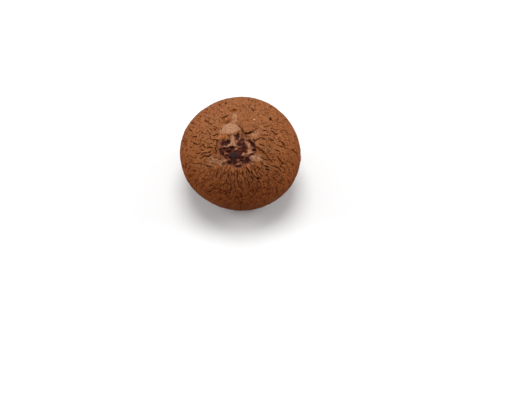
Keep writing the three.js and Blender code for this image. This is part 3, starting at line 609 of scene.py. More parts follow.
def crust_cracks(d, ids=None):
    """Distance to the edge of the nearest crack, negative inside it, its depth, and the unevenness of the cells between."""
    x = d * R0
    s = R0 * burst_polar(d)[0]
    behind = smooth(32, 50, s)
    w = wobbled(d, 40, 0.45, 0.16)
    v = wobbled(d, 140, 0.16, 0.10)
    ids = (CELLS.near(w), TEARS.near(v)) if ids is None else ids
    gap, deep = TEARS.measure(v, ids[1])
    cell, others, border, lengthwise, p, q = CELLS.measure(w, ids[0])
    chance = unit_hash(np.repeat(cell[:, None], others.shape[1], 1), others, 5)
    local = fbm(x, 6.5, 2, 60)
    along = fbm(x, 1.3, 2, 61)
    # an open network behind, little of it in front
    favour = (-0.16 + 0.16 * behind)[:, None] + (0.20 - 0.10 * behind)[:, None] * lengthwise**1.5
    openness = smooth(0.55, 1.05, favour + 0.84 * chance + (0.34 * along + 0.34 * local)[:, None])
    edge = border + 0.30 - (0.43 + 0.04 * behind)[:, None] * openness
    first = edge.argmin(1)[:, None]
    edge, openness = np.take_along_axis(edge, first, 1)[:, 0], np.take_along_axis(openness, first, 1)[:, 0]
    deep = np.where(gap < edge, deep, (0.28 + 0.25 * behind) * openness)
    gap = np.minimum(gap, edge)
    cushion = np.exp(-((border[:, 0] / 0.42) ** 2))
    plates = (CELLS.offset[cell] * 0.6 + CELLS.tilt[cell, 0] * p * 0.9 + CELLS.tilt[cell, 1] * q * 0.9) * (1 - cushion)
    return dict(gap=gap, deep=deep, cushion=cushion, plates=plates, ids=ids)


def dough_surface(d, ids=None):
    """Height of the dough and crust over the ball in mm, and what the finish reads at each point."""
    x = d * R0
    theta, turn = burst_polar(d)
    s = R0 * theta
    a0, b0 = to_ab(d)
    a, b = warped_ab(d)
    ta, tb = warped_ab(d, 80, 0.50, 0.26, 1.7)
    z = (d * ball_radius(d)[:, None] + CENTRE)[:, 2]
    behind = smooth(34, 52, s)

    # general unevenness
    small = fbm(x, 1.25, 3, 3)
    h = 0.32 * fbm(x, 13, 3, 1) + 0.10 * fbm(x, 4.2, 3, 2) + 0.065 * small

    # masks round the burst
    crater = ellipse(ta, tb, 0.1, 0.9, 8.8, 7.8) + 0.8 * fbm(x, 2.0, 3, 90, 0.6)
    windows = union([ellipse(ta, tb, *w) for w in WINDOWS] + [strip(ta, tb, p, w) for p, w in WINDOW_STRIPS], 0.35)
    windows = windows + 0.28 * fbm(x, 1.0, 3, 91, 0.6)
    frayed = 0.34 * fbm(x, 1.1, 3, 101, 0.65)
    strands = [(strip(ta, tb, p, w0, w1) + frayed, hh, whiteness) for p, w0, w1, hh, whiteness in STRANDS]
    # strands stay whole in front of the paste
    windows = np.maximum(windows, 0.12 - union([q for q, _, _ in strands], 0.2))
    ragged = fbm(x, 1.6, 4, 92, 0.65)
    pale_parts = [(ellipse(ta, tb, *p[:5]) + p[7] * ragged, *p[5:7]) for p in PALE_AREAS]
    pale_parts += [(strip(ta, tb, p, w0, w1) + rough * ragged, hh, whiteness) for p, w0, w1, hh, whiteness, rough in PALE_STRIPS]
    pale_dist = union([q for q, _, _ in pale_parts], 0.35)
    plate = polygon(a, b, PLATE) + 0.22 * fbm(x, 1.5, 2, 94)

    # cracks, kept off bare dough and mostly off the smooth plate
    cracks = crust_cracks(d, ids)
    bare = np.maximum(smooth(0.35, -0.25, pale_dist), smooth(0.8, -0.4, crater))
    on_plate = smooth(0.4, -0.6, plate)
    low = smooth(9, 1.5, z)  # towards the flat underside
    lively = (1 - bare) * (1 - 0.45 * on_plate) * (1 - 0.5 * low)
    gap = cracks["gap"] + 0.40 * (1 - lively)
    deep = cracks["deep"] * (1 - 0.4 * on_plate) * (1 - 0.25 * behind)

    # folds at the lower lip
    degrees = np.degrees(turn)
    wobble = (5.5 * fbm(x, 4.0, 2, 21) + 3.2 * fbm(x, 1.6, 2, 22)) * smooth(5, 10, s)
    g = degrees + wobble
    fold, ridge, groove = np.zeros(len(d)), np.zeros(len(d)), np.full(len(d), 1e3)
    ends = np.full(len(d), 7.9)
    for n in range(len(GROOVES) - 1):
        (g0, dep0, run0), (g1, dep1, run1) = GROOVES[n], GROOVES[n + 1]
        t = (g - g0) / (g1 - g0)
        inside = (t >= 0) & (t < 1)
        side = np.where(t < 0.5, dep0, dep1)
        run = np.where(t < 0.5, run0, run1)
        arc = np.abs(np.sin(np.pi * np.clip(t, 0, 1))) ** 0.6
        fade = 1 - smooth(run * 0.55, run, s)
        fold = np.where(inside, (arc - 0.6) * side * 1.25 * fade, fold)
        ridge = np.where(inside, arc * fade, ridge)
        nearest = np.minimum(t, 1 - t) * (g1 - g0) * math.pi / 180 * np.maximum(s, 4)
        groove = np.where(inside, nearest + 0.42 * (1 - fade * smooth(0.2, 0.5, side)), groove)
        ends = np.where(inside, FOLD_ENDS[n] + 0.9 * (2 * t - 1) ** 2, ends)
    in_fan = smooth(-160, -154, degrees) * (1 - smooth(-34, -28, degrees))
    fold *= in_fan * smooth(5.5, 7.5, s) * (1 + 0.5 * fbm(x, 3.0, 2, 95))
    ridge *= in_fan
    torn_here = smooth(-0.15, 0.3, fbm(x, 1.3, 2, 96) + 0.25 * smooth(13, 9, s))
    groove = groove - 0.14 + 0.5 * (1 - in_fan * torn_here) + 0.3 * smooth(8, 6.5, s)
    lip = np.where(in_fan > 0.5, s - ends + 0.45 * fbm(x, 1.3, 3, 23), 9.0)

    # lay the ground: crust, torn crater, bare dough
    hole = smooth(0.9, -0.7, crater)
    hole = np.where(in_fan > 0.5, np.minimum(np.maximum(hole, smooth(0.5, -0.5, lip)), smooth(1.0, -0.2, lip)), hole)
    hole = np.clip(hole - sum(0.9 * smooth(0.4, -0.2, ellipse(ta, tb, *bit[:5]) + 0.35 * fbm(x, 1.0, 3, 105, 0.6)) for bit in CRUST_BITS), 0, 1)
    knots = fbm(x, 1.5, 3, 25, 0.6)
    floor = -0.95 + 0.60 * smooth(8.5, 10.5, s) + 0.34 * knots + 0.12 * fbm(x, 0.55, 2, 26)
    crust = h + fold
    ground = crust * (1 - hole) + (h * 0.4 + floor) * hole
    white = np.zeros(len(d))
    dents = fbm(x, 1.7, 3, 27)
    # wet dough pulled out into slanting threads
    slant = math.radians(32)
    pulled = np.stack([0.34 * (ta * math.cos(slant) + tb * math.sin(slant)), -ta * math.sin(slant) + tb * math.cos(slant), 0 * ta], 1)
    pulled = fbm(pulled, 0.95, 3, 109, 0.6) * smooth(8.5, 6.5, s)
    mottled = smooth(-0.30, 0.30, fbm(x, 1.0, 3, 104, 0.65))
    for dist, level, whiteness in pale_parts:
        edge = smooth(0.80, -0.60, dist)
        body = level + h * 0.5 + 0.13 * dents + 0.12 * smooth(0.2, -0.7, dist)
        ground = ground * (1 - edge) + body * edge
        broken = 1 - (1 - mottled) * np.clip(2.2 * (1 - whiteness), 0, 1)
        white = np.maximum(white, (0.35 + 0.65 * whiteness) * broken * smooth(0.95, -0.80, dist) * np.where(in_fan > 0.5, smooth(1.2, 0.2, lip), 1))
    for ca_, cb_, ra, rb, tilt, level in CRUST_BITS:
        dist = ellipse(ta, tb, ca_, cb_, ra, rb, tilt) + 0.35 * fbm(x, 1.0, 3, 105, 0.6)
        edge = smooth(0.3, -0.25, dist)
        ground = ground * (1 - edge) + (level - 0.25 + 0.5 * smooth(0.3, -0.8, dist) + 0.18 * dents) * edge
        white = white * (1 - edge)
    # crumbs of crust and darker threads are left on the bare dough near the burst
    left_on = smooth(0.10, 0.45, fbm(x, 1.15, 3, 103, 0.6)) * smooth(9.8, 7.6, b0) * smooth(5.5, 7.0, s)
    white = white * (1 - 0.75 * left_on)
    threads = smooth(-0.25, 0.20, fbm(x, 0.8, 3, 107, 0.65))
    ground = ground + 0.30 * hole * pulled
    white = np.maximum(white, 0.72 * hole * smooth(0.20, 0.48, pulled))
    for dist, level, whiteness in strands:
        edge = smooth(0.34, -0.26, dist)
        body = level - 0.62 + 0.42 * np.sqrt(np.clip(-dist + 0.3, 0, 1.2)) + 0.20 * knots
        ground = ground * (1 - edge) + np.maximum(body, ground) * edge
        white = np.maximum(white, whiteness * smooth(0.45, -0.55, dist) * (0.74 + 0.95 * knots) * (0.70 + 0.30 * threads))
    # the plate and its overhanging edge
    edge_side = smooth(23, 16, b0 + 0.25 * a0)
    rise = smooth(0.14, -0.30, plate)
    ground += 0.62 * rise * edge_side * (1 - 0.25 * smooth(-0.5, -4, plate)) + 0.12 * on_plate * fbm(x, 4.0, 2, 28)
    open_here = smooth(14.2, 12.2, b0) * smooth(10.0, 8.0, a0) * smooth(-0.55, 0.05, fbm(x, 1.6, 2, 97) + 0.2)
    under = np.exp(-(((plate - 0.42) / 0.34) ** 2)) * open_here
    ground -= 0.34 * under * (1 - on_plate)
    # the curled flake above the pale patch
    flake = ellipse(ta, tb, -4.7, 16.9, 2.5, 1.45, 38)
    ground += smooth(0.2, -0.35, flake) * (0.75 + 0.22 * ((a + 4.6) * 0.5 - (b - 16.6) * 0.4))
    ground -= 0.35 * np.exp(-(((flake - 0.35) / 0.3) ** 2)) * smooth(-1.5, 1.5, (a + 4.6) - (b - 16.6))

    # add the cracks that were drawn, the grooves and the gap under the plate; all of them get the dark crack colour in
    # the finish, painted shade in them
    uneven = np.clip(0.90 + 1.0 * fbm(x, 0.9, 2, 98), 0.40, 1.45)
    ca, cb = warped_ab(d, 120, 0.22, 0.10, 1.6)
    for points, w, depth in LONG_CRACKS + [(cut, 0.88 * w, depth) for cut, w, depth in FOLD_CUTS]:
        near = opened(ca, cb, points, 0.92 * w * uneven)
        deep = np.where(near < gap, depth**1.3, deep)
        gap = np.minimum(gap, near)
    # pits get the darkest crack colour: painted shade in the holes
    for pa, pb, pr in PITS:
        near = np.hypot(ca - pa, cb - pb) - pr * 0.70 * np.maximum(uneven, 0.75)
        deep = np.where(near < gap, 1.6, deep)
        gap = np.minimum(gap, near)
    # the grooves and a line along the plate's lower edge become cracks too: painted shade in the grooves and a painted
    # shadow under the overhanging plate
    for near, depth in ((groove, 0.3), (np.abs(plate - 0.36) + 0.42 - 0.64 * open_here * (1 - 0.6 * on_plate), 0.7)):
        deep = np.where(near < gap, depth, deep)
        gap = np.minimum(gap, near)
    beside = smooth(0.9, 0.1, np.abs(plate)) * smooth(16, 14, b0) * smooth(7.5, 8.5, b0)
    gap = gap + 0.6 * hole * (1 - beside) + 0.6 * smooth(0.5, 0.8, white) * (1 - beside)
    deep = np.clip(deep, 0, 1.6)
    shoulder = np.exp(-((np.maximum(gap, 0) / 0.30) ** 2))
    h = ground
    h -= (0.15 + 0.40 * deep) * smooth(0.16, -0.20, gap)
    h += (0.03 + 0.07 * deep) * np.exp(-(((gap - 0.30) / 0.20) ** 2)) * (1 - 0.7 * hole) * (1 - 0.6 * smooth(26, 31, s))
    h += lively * 0.06 * cracks["plates"] * (1 + 0.8 * behind)
    h -= lively * 0.035 * cracks["cushion"] * (1 + 1.3 * behind)

    # torn windows
    torn = smooth(0.12, -0.28, windows) * smooth(1.4, 0.5, crater)
    h = h * (1 - torn) - 5.0 * torn

    pale = np.clip(white, 0, 1) * (1 - rise * edge_side) * (1 - 0.85 * beside)
    flake_mask = smooth(0.2, -0.1, flake)
    pale = pale * (1 - flake_mask)
    # paste soaked into the dough round the windows, less far where the dough is a thick pale strand
    reach = (1.0 * (1 - 0.38 * pale)) * (1 + 0.55 * fbm(x, 2.1, 2, 99))
    soak = (1 - np.clip((windows + 0.05) / np.maximum(reach, 0.25), 0, 1)) * smooth(1.7, 0.3, crater)
    for smear in SMEARS:
        soak = np.maximum(soak, smear[5] * (1 - 0.8 * pale) * smooth(0.7, -0.7, ellipse(ta, tb, *smear[:5]) + 0.5 * knots))
    soak = soak - 0.55 * hole * pulled
    soak = np.clip(soak + 0.30 * hole * (1 - pale) * smooth(0.15, -0.5, knots) * smooth(9.5, 6.5, s), 0, 1) * hole
    # lighter orange-brown on the folds' ridges and at their torn lips, a painted highlight where light catches them; on
    # the pieces of crust left in the burst and the curled flake, their own orange-brown colour
    bright = 0.7 * ridge * smooth(20, 10, s) + 0.9 * in_fan * np.exp(-(((lip - 0.7) / 1.0) ** 2))
    bright = np.maximum(bright, sum(0.8 * smooth(0.35, -0.3, ellipse(ta, tb, *bit[:5]) + 0.35 * fbm(x, 1.0, 3, 105, 0.6)) for bit in CRUST_BITS))
    bright = np.clip(np.maximum(bright, 0.9 * flake_mask), 0, 1)
    rust = np.max([stain[5] * smooth(0.9, -0.9, ellipse(ta, tb, *stain[:5]) + 0.9 * fbm(x, 1.6, 3, 106, 0.6)) for stain in STAINS], axis=0)
    grey = np.zeros(len(d))
    for points, w0, w1 in GREY_STREAKS:
        grey = np.maximum(grey, smooth(0.8, -1.0, strip(ta, tb, points, w0, w1) + 1.6 * fbm(x, 1.6, 3, 100, 0.65)))
    # how many hairline cracks there are
    hair = 0.42 + 0.50 * in_fan * smooth(32, 24, s) * smooth(8.0, 9.5, s) + 0.12 * smooth(16, 22, b0) - 0.10 * on_plate + 0.50 * behind * (1 - low)
    # one pale crumb stuck to the plate, painted bright yellow-white as a glint
    glinting_crumb = smooth(0.42, 0.16, np.hypot(a0 - 9.1, b0 - 16.5) + 0.15 * fbm(x, 0.5, 1, 108))
    h = h + 0.22 * glinting_crumb
    # coordinates drawn out along the way the skin was pulled
    ring = np.where(s < 42, 9 + 0.45 * s, 27.9 * np.sin(theta) / math.sin(42 / R0))
    skin = np.stack([ring * np.cos(turn), ring * np.sin(turn), np.interp(s, [0, 13, 22, 30, 45, 90], [0, 2.8, 5.8, 10.0, 19.5, 61.0])], 1)
    attributes = dict(rest=x, skin=skin, gap=np.clip(gap, -0.4, 1.2), deep=deep, pale=pale, soak=soak, grey=grey, hole=hole * (1 - flake_mask),
                      height=z / 47.0, plate=on_plate, bright=bright, rust=rust, hair=hair, glinting_crumb=glinting_crumb, cell=cracks["plates"] * lively)
    return h, attributes


def towards_cracks(d):
    """Draws the vertices together across cracks, where the surface bends most."""
    eps = 0.05 / R0
    e = np.cross(d, [0.3, 0.5, 0.8])
    e /= np.linalg.norm(e, axis=1)[:, None]
    f = np.cross(d, e)
    first = crust_cracks(d)
    ids = first["ids"]

    def soft(cracks):
        return np.exp(-((np.maximum(cracks["gap"] + 0.2, 0) / 0.36) ** 2)) * (0.4 + 0.6 * cracks["deep"])

    def nearness(q):
        return soft(crust_cracks(q / np.linalg.norm(q, axis=1)[:, None], ids))

    base = soft(first)
    ge = (nearness(d + e * eps) - base) / 0.05
    gf = (nearness(d + f * eps) - base) / 0.05
    size = np.hypot(ge, gf) + 1e-6
    step = np.minimum(size * 0.35, 0.11) / size
    moved = d * R0 + (e * (ge * step)[:, None] + f * (gf * step)[:, None])
    return moved / np.linalg.norm(moved, axis=1)[:, None], ids


def bun_area(s):
    """Wanted area of a triangle, in square mm, at a distance from the burst."""
    return np.exp(np.interp(s, [0, 10, 13, 27, 36, 50, 85], np.log([0.0145, 0.0145, 0.024, 0.028, 0.050, 0.095, 0.125])))


def place(d, h, edge=2.4):
    """Points on the ball raised by h, with the underside cut flat by what it stood on."""
    r = ball_radius(d) + h
    flat = WIDEST_AT / np.maximum(-d[:, 2], 1e-3)
    blend = smin(r, flat, edge)
    # the relief still shows a little on the flat, but nothing passes below it
    return d * np.minimum(blend, flat)[:, None] + CENTRE


# ---- the bun ---------------------------------------------------------------------------------------------

dirs, tris = geodesic(97)
dirs = spread_from_burst(dirs, bun_area)
dirs, near_cells = towards_cracks(dirs)
height, attributes = dough_surface(dirs, near_cells)
bun = make_mesh("bun_crust", place(dirs, height), tris, attributes)
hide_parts("bun")
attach(bun, "root")

# ---- the paste -------------------------------------------------------------------------------------------

pd, pt = geodesic(60)
angle, turn = burst_polar(pd)
# the upper half of this mesh is the paste that can show, the lower half the ball below it
top = angle < math.pi / 2
share = np.where(top, angle / (math.pi / 2), 1.0)
reach = 10.6 / (1 + 0.12 * np.cos(2 * turn + math.pi))  # a little wider to the sides
s_top = reach * share**0.9
d_top = from_polar(s_top / R0, turn)
a_top, b_top = to_ab(d_top)
x_top = d_top * R0
r_top = ball_radius(d_top) + paste_relief(a_top, b_top, x_top)
upper = d_top * r_top[:, None]
rim = upper @ P
down = np.where(top, 0.0, (angle - math.pi / 2) / (math.pi / 2))
rho_rim = np.linalg.norm(upper - (upper @ P)[:, None] * P, axis=1)
swell = np.sin(math.pi * np.clip(down, 0, 1)) * 6.5
rho = rho_rim * np.cos(down * math.pi / 2) ** 0.6 + swell
level = rim - down**1.2 * (rim + 11.0)
outward = np.cos(turn)[:, None] * E1 + np.sin(turn)[:, None] * E2
lower = outward * rho[:, None] + level[:, None] * P
paste_co = np.where(top[:, None], upper, lower) + CENTRE
bulge = np.exp(-(((a_top + 1.4) / 2.25) ** 2 + ((b_top + 1.7) / 1.85) ** 2) ** 2) * top
paste = make_mesh("bean_paste", paste_co, pt, dict(rest=np.where(top[:, None], x_top, lower), bulge=bulge))
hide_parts("filling")
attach(paste, "root")

# ---- finishes --------------------------------------------------------------------------------------------


class Nodes:
    """Short ways to build a material's nodes."""

    def __init__(self, name):
        self.material = bpy.data.materials.new(name)
        self.material.use_nodes = True
        self.tree = self.material.node_tree
        self.shader = next(n for n in self.tree.nodes if n.type == "BSDF_PRINCIPLED")

    def put(self, socket, value):
        if isinstance(value, bpy.types.NodeSocket):
            self.tree.links.new(value, socket)
        elif isinstance(value, (tuple, list)) and len(value) == 3 and socket.type == "RGBA":
            socket.default_value = (*value, 1.0)
        else:
            socket.default_value = value

    def attribute(self, name, vector=False):
        n = self.tree.nodes.new("ShaderNodeAttribute")
        n.attribute_name = name
        return n.outputs["Vector" if vector else "Fac"]

    def noise(self, vector, scale, detail=2.0, rough=0.5, distortion=0.0):
        n = self.tree.nodes.new("ShaderNodeTexNoise")
        self.put(n.inputs["Vector"], vector)
        n.inputs["Scale"].default_value = scale
        n.inputs["Detail"].default_value = detail
        n.inputs["Roughness"].default_value = rough
        n.inputs["Distortion"].default_value = distortion
        return n.outputs["Fac"]

    def voronoi(self, vector, scale, feature="F1", randomness=1.0):
        n = self.tree.nodes.new("ShaderNodeTexVoronoi")
        n.feature = feature
        self.put(n.inputs["Vector"], vector)
        n.inputs["Scale"].default_value = scale
        n.inputs["Randomness"].default_value = randomness
        return n.outputs["Distance"]

    def wobbled(self, vector, scale, amount):
        """The coordinates, moved about by noise."""
        n = self.tree.nodes.new("ShaderNodeTexNoise")
        self.put(n.inputs["Vector"], vector)
        n.inputs["Scale"].default_value = scale
        n.inputs["Detail"].default_value = 2.0
        middle = self.tree.nodes.new("ShaderNodeVectorMath")
        middle.operation = "SUBTRACT"
        self.put(middle.inputs[0], n.outputs["Color"])
        middle.inputs[1].default_value = (0.5, 0.5, 0.5)
        add = self.tree.nodes.new("ShaderNodeVectorMath")
        add.operation = "MULTIPLY_ADD"
        self.put(add.inputs[0], middle.outputs[0])
        add.inputs[1].default_value = (amount, amount, amount)
        self.put(add.inputs[2], vector)
        return add.outputs[0]

    def stops(self, value, places):
        """A colour for each place along a value from 0 to 1."""
        n = self.tree.nodes.new("ShaderNodeValToRGB")
        ramp = n.color_ramp
        while len(ramp.elements) < len(places):
            ramp.elements.new(0.5)
        for element, (position, colour) in zip(ramp.elements, places):
            element.position = position
            element.color = (*colour, 1.0)
        self.put(n.inputs["Fac"], value)
        return n.outputs["Color"]

    def math(self, op, x, y=0.0, clamp=False):
        n = self.tree.nodes.new("ShaderNodeMath")
        n.operation = op
        n.use_clamp = clamp
        self.put(n.inputs[0], x)
        self.put(n.inputs[1], y)
        return n.outputs[0]

    def ramp(self, value, lo, hi, to_lo=0.0, to_hi=1.0):
        n = self.tree.nodes.new("ShaderNodeMapRange")
        n.interpolation_type = "SMOOTHSTEP"
        self.put(n.inputs["Value"], value)
        for key, v in (("From Min", lo), ("From Max", hi), ("To Min", to_lo), ("To Max", to_hi)):
            n.inputs[key].default_value = v
        return n.outputs["Result"]

    def mix(self, factor, x, y, blend="MIX"):
        n = self.tree.nodes.new("ShaderNodeMix")
        n.data_type = "RGBA"
        n.blend_type = blend
        self.put(n.inputs[0], factor)
        self.put(n.inputs[6], x)
        self.put(n.inputs[7], y)
        return n.outputs[2]

    def bump(self, height, strength, distance, normal=None):
        n = self.tree.nodes.new("ShaderNodeBump")
        n.inputs["Strength"].default_value = strength
        n.inputs["Distance"].default_value = distance
        self.put(n.inputs["Height"], height)
        if normal is not None:
            self.put(n.inputs["Normal"], normal)
        return n.outputs["Normal"]


def crust_material():
    m = Nodes("baked_crust")
    rest = m.attribute("rest", vector=True)
    skin = m.attribute("skin", vector=True)
    broad = m.noise(rest, 0.09, 3, 0.55)
    patch = m.noise(rest, 0.38, 4, 0.6)
    soft = m.noise(rest, 0.9, 3, 0.6)
    grain = m.noise(rest, 1.9, 4, 0.68)
    speck = m.noise(rest, 6.0, 2, 0.6)
    hole, pale, gap, deep = m.attribute("hole"), m.attribute("pale"), m.attribute("gap"), m.attribute("deep")
    crust_only = m.math("SUBTRACT", 1.0, m.math("MAXIMUM", hole, pale), clamp=True)

    # the cracks, with crumbly edges; the dark colour given to them and to their rims further down is painted shade in
    # the crack hollows, darker where a crack is deeper
    crumbly = m.math("MULTIPLY", m.math("SUBTRACT", m.noise(rest, 3.0, 3, 0.6), 0.5), 0.36)
    edge = m.math("ADD", gap, crumbly)
    closing = m.ramp(m.noise(rest, 0.80, 2, 0.5), 0.62, 0.40)
    core = m.math("ADD", edge, m.math("MULTIPLY", closing, 0.10))
    depth = m.math("MULTIPLY", deep, m.math("SUBTRACT", 1.15, m.math("MULTIPLY", closing, 0.55)), clamp=True)
    line = m.math("MULTIPLY", m.ramp(core, 0.13, -0.07), m.ramp(depth, 0.0, 0.5, 0.50, 0.97))
    crack_rim_shade = m.math("MULTIPLY", m.ramp(edge, 0.28, -0.04), m.ramp(deep, 0.0, 0.7, 0.45, 0.85))
    lip_highlight = m.math("MULTIPLY", m.ramp(edge, 0.55, 0.16), m.ramp(deep, 0.1, 0.9, 0.15, 0.45))
    # hairline cracks of the dry skin, short and broken, and pores; the darkening they give below is painted shade in
    # them
    fine_edge = m.voronoi(m.wobbled(skin, 1.0, 0.8), 0.80, "DISTANCE_TO_EDGE")
    hair = m.attribute("hair")
    fine = m.math("MULTIPLY", m.ramp(fine_edge, 0.12, 0.03), m.ramp(m.noise(skin, 1.05, 3, 0.6), 0.50, 0.60))
    # longer ones that run down the folds and link up below them
    drawn = m.voronoi(m.wobbled(skin, 0.9, 1.1), 0.53, "DISTANCE_TO_EDGE")
    drawn = m.math("ADD", drawn, m.math("MULTIPLY", m.math("SUBTRACT", m.noise(rest, 3.0, 2, 0.5), 0.5), 0.10))
    threads = m.math("MULTIPLY", m.ramp(drawn, 0.082, 0.025), m.math("MULTIPLY", m.ramp(m.noise(skin, 0.6, 3, 0.65), 0.40, 0.52), m.ramp(hair, 0.5, 0.9)))
    pores = m.math("MULTIPLY", m.ramp(m.voronoi(m.wobbled(rest, 2.0, 0.3), 0.85), 0.28, 0.16), m.ramp(m.noise(rest, 0.6, 2, 0.5), 0.41, 0.51))
    tiny = m.math("MULTIPLY", m.ramp(m.voronoi(m.wobbled(rest, 3.0, 0.2), 1.55), 0.28, 0.12), m.ramp(m.noise(rest, 1.0, 2, 0.5), 0.41, 0.51))
    fine = m.math("MAXIMUM", m.math("MULTIPLY", fine, 0.85), m.math("MAXIMUM", pores, m.math("MULTIPLY", tiny, 1.0)))
    fine = m.math("MULTIPLY", fine, crust_only)
    threads = m.math("MULTIPLY", threads, crust_only)

    colour = m.mix(m.ramp(broad, 0.35, 0.65), (0.256, 0.0848, 0.0290), (0.287, 0.0978, 0.0348))
    colour = m.mix(m.ramp(patch, 0.42, 0.72, 0, 0.30), colour, (0.225, 0.0700, 0.0200))
    # fine mottling, partly the crust's own tone and partly painted light and shade on its tiny bumps: the same grain
    # and speck noise raise the bump relief, and the colour is lighter where they are high
    colour = m.mix(m.ramp(grain, 0.50, 0.72, 0, 0.62), colour, (0.385, 0.156, 0.060))
    colour = m.mix(m.ramp(grain, 0.49, 0.28, 0, 0.70), colour, (0.135, 0.033, 0.0070))
    colour = m.mix(m.ramp(m.noise(rest, 3.1, 2, 0.5), 0.46, 0.26, 0, 0.50), colour, (0.115, 0.026, 0.0050))
    colour = m.mix(m.ramp(speck, 0.58, 0.78, 0, 0.22), colour, (0.36, 0.152, 0.064))
    # each cell of the crust has a slightly different tone
    cell = m.attribute("cell")
    colour = m.mix(m.ramp(cell, 0.0, 0.9, 0, 0.18), colour, (0.33, 0.124, 0.044))
    colour = m.mix(m.ramp(cell, 0.0, -0.9, 0, 0.18), colour, (0.175, 0.054, 0.0155))
    # lighter orange along the crack edges: a painted highlight where the crack lips catch the light
    colour = m.mix(lip_highlight, colour, (0.345, 0.138, 0.052))
    colour = m.mix(m.math("MULTIPLY", m.attribute("plate"), 0.5), colour, m.mix(1.0, colour, (0.83, 0.80, 0.78), "MULTIPLY"))
    # by height: lighter and greyer on top, a painted sheen; darker and redder lower down, partly browner baking towards
    # the tray and partly painted shade
    height = m.attribute("height")
    colour = m.mix(m.ramp(height, 0.80, 0.97), colour, m.mix(1.0, colour, (1.06, 1.15, 1.30), "MULTIPLY"))
    colour = m.mix(m.ramp(height, 0.88, 0.48), colour, m.mix(1.0, colour, (0.78, 0.61, 0.43), "MULTIPLY"))
    # darker still near the base, painted shade in part
    colour = m.mix(m.ramp(height, 0.54, 0.24), colour, m.mix(1.0, colour, (0.64, 0.58, 0.57), "MULTIPLY"))
    colour = m.mix(m.math("MULTIPLY", m.attribute("rust"), m.ramp(grain, 0.30, 0.60, 0.60, 0.95)), colour, (0.165, 0.0400, 0.0100))
    # lighter orange-brown from bright: painted highlight on fold ridges and torn lips, own crust colour on the pieces
    # and flake
    colour = m.mix(m.math("MULTIPLY", m.attribute("bright"), 0.80), colour, m.mix(m.ramp(soft, 0.35, 0.65), (0.265, 0.081, 0.025), (0.400, 0.145, 0.054)))
    # torn dough
    torn = m.mix(m.ramp(soft, 0.3, 0.7), (0.160, 0.050, 0.022), (0.285, 0.115, 0.057))
    torn = m.mix(m.ramp(grain, 0.50, 0.75, 0, 0.6), torn, (0.38, 0.18, 0.105))
    torn = m.mix(m.ramp(grain, 0.48, 0.26, 0, 0.6), torn, (0.105, 0.028, 0.015))
    colour = m.mix(hole, colour, torn)
    # bare dough
    dough = m.mix(m.ramp(soft, 0.32, 0.66), (0.300, 0.140, 0.072), (0.415, 0.216, 0.126))
    dough = m.mix(m.ramp(grain, 0.50, 0.76, 0, 0.50), dough, (0.500, 0.290, 0.180))
    dough = m.mix(m.ramp(grain, 0.48, 0.26, 0, 0.50), dough, (0.225, 0.087, 0.038))
    colour = m.mix(m.ramp(m.math("ADD", pale, m.math("MULTIPLY", m.math("SUBTRACT", grain, 0.5), 0.7)), 0.15, 0.85), colour, dough)
    dusty = m.math("MULTIPLY", m.attribute("grey"), m.ramp(grain, 0.40, 0.62, 0.0, 0.60))
    colour = m.mix(dusty, colour, (0.255, 0.150, 0.086))
    # from the edge of the soaked dough to the paste itself
    soak = m.math("ADD", m.attribute("soak"), m.math("MULTIPLY", m.math("SUBTRACT", grain, 0.5), 0.9), clamp=True)
    soaked = m.stops(soak, [(0.0, (0.27, 0.110, 0.062)), (0.30, (0.185, 0.060, 0.034)), (0.60, (0.105, 0.0270, 0.0160)), (0.9, (0.066, 0.0150, 0.0095))])
    colour = m.mix(m.ramp(soak, 0.10, 0.55), colour, soaked)
    # darker rims round the cracks and dark crack lines, deeper ones darker: painted shade in the cracks, pits, grooves
    # and under the plate's edge
    colour = m.mix(m.math("MULTIPLY", crack_rim_shade, 0.80), colour, m.mix(0.60, colour, (0.150, 0.0300, 0.0040)))
    colour = m.mix(line, colour, m.mix(m.ramp(depth, 0.25, 0.95), (0.138, 0.0300, 0.0042), (0.058, 0.0098, 0.0011)))
    # hairline cracks, pores and the long threads darken the colour: painted shade in them
    colour = m.mix(m.math("MULTIPLY", fine, 0.92), colour, m.mix(1.0, colour, (0.38, 0.22, 0.10), "MULTIPLY"))
    colour = m.mix(m.math("MULTIPLY", threads, 0.92), colour, m.mix(1.0, colour, (0.34, 0.18, 0.08), "MULTIPLY"))
    # the crumb's bright yellow-white is a painted glint on a pale crumb
    colour = m.mix(m.attribute("glinting_crumb"), colour, (0.80, 0.62, 0.30))
    m.put(m.shader.inputs["Base Color"], colour)
    m.put(m.shader.inputs["Roughness"], m.ramp(grain, 0.3, 0.7, 0.80, 0.95))
    m.shader.inputs["Specular IOR Level"].default_value = 0.03
    m.shader.inputs["Sheen Weight"].default_value = 0.04
    m.shader.inputs["Sheen Tint"].default_value = (1.0, 0.62, 0.36, 1.0)
    m.shader.inputs["Sheen Roughness"].default_value = 0.45
    relief = m.math("ADD", m.math("MULTIPLY", grain, 0.65), m.math("MULTIPLY", speck, 0.25))
    relief = m.math("ADD", relief, m.math("MULTIPLY", m.noise(rest, 0.95, 2, 0.5), 0.9))
    relief = m.math("ADD", relief, m.math("MULTIPLY", lip_highlight, 0.25))
    relief = m.math("SUBTRACT", relief, m.math("MULTIPLY", m.math("MAXIMUM", m.math("MAXIMUM", fine, threads), line), 0.6))
    m.put(m.shader.inputs["Normal"], m.bump(relief, 0.85, 0.00036))
    return m.material


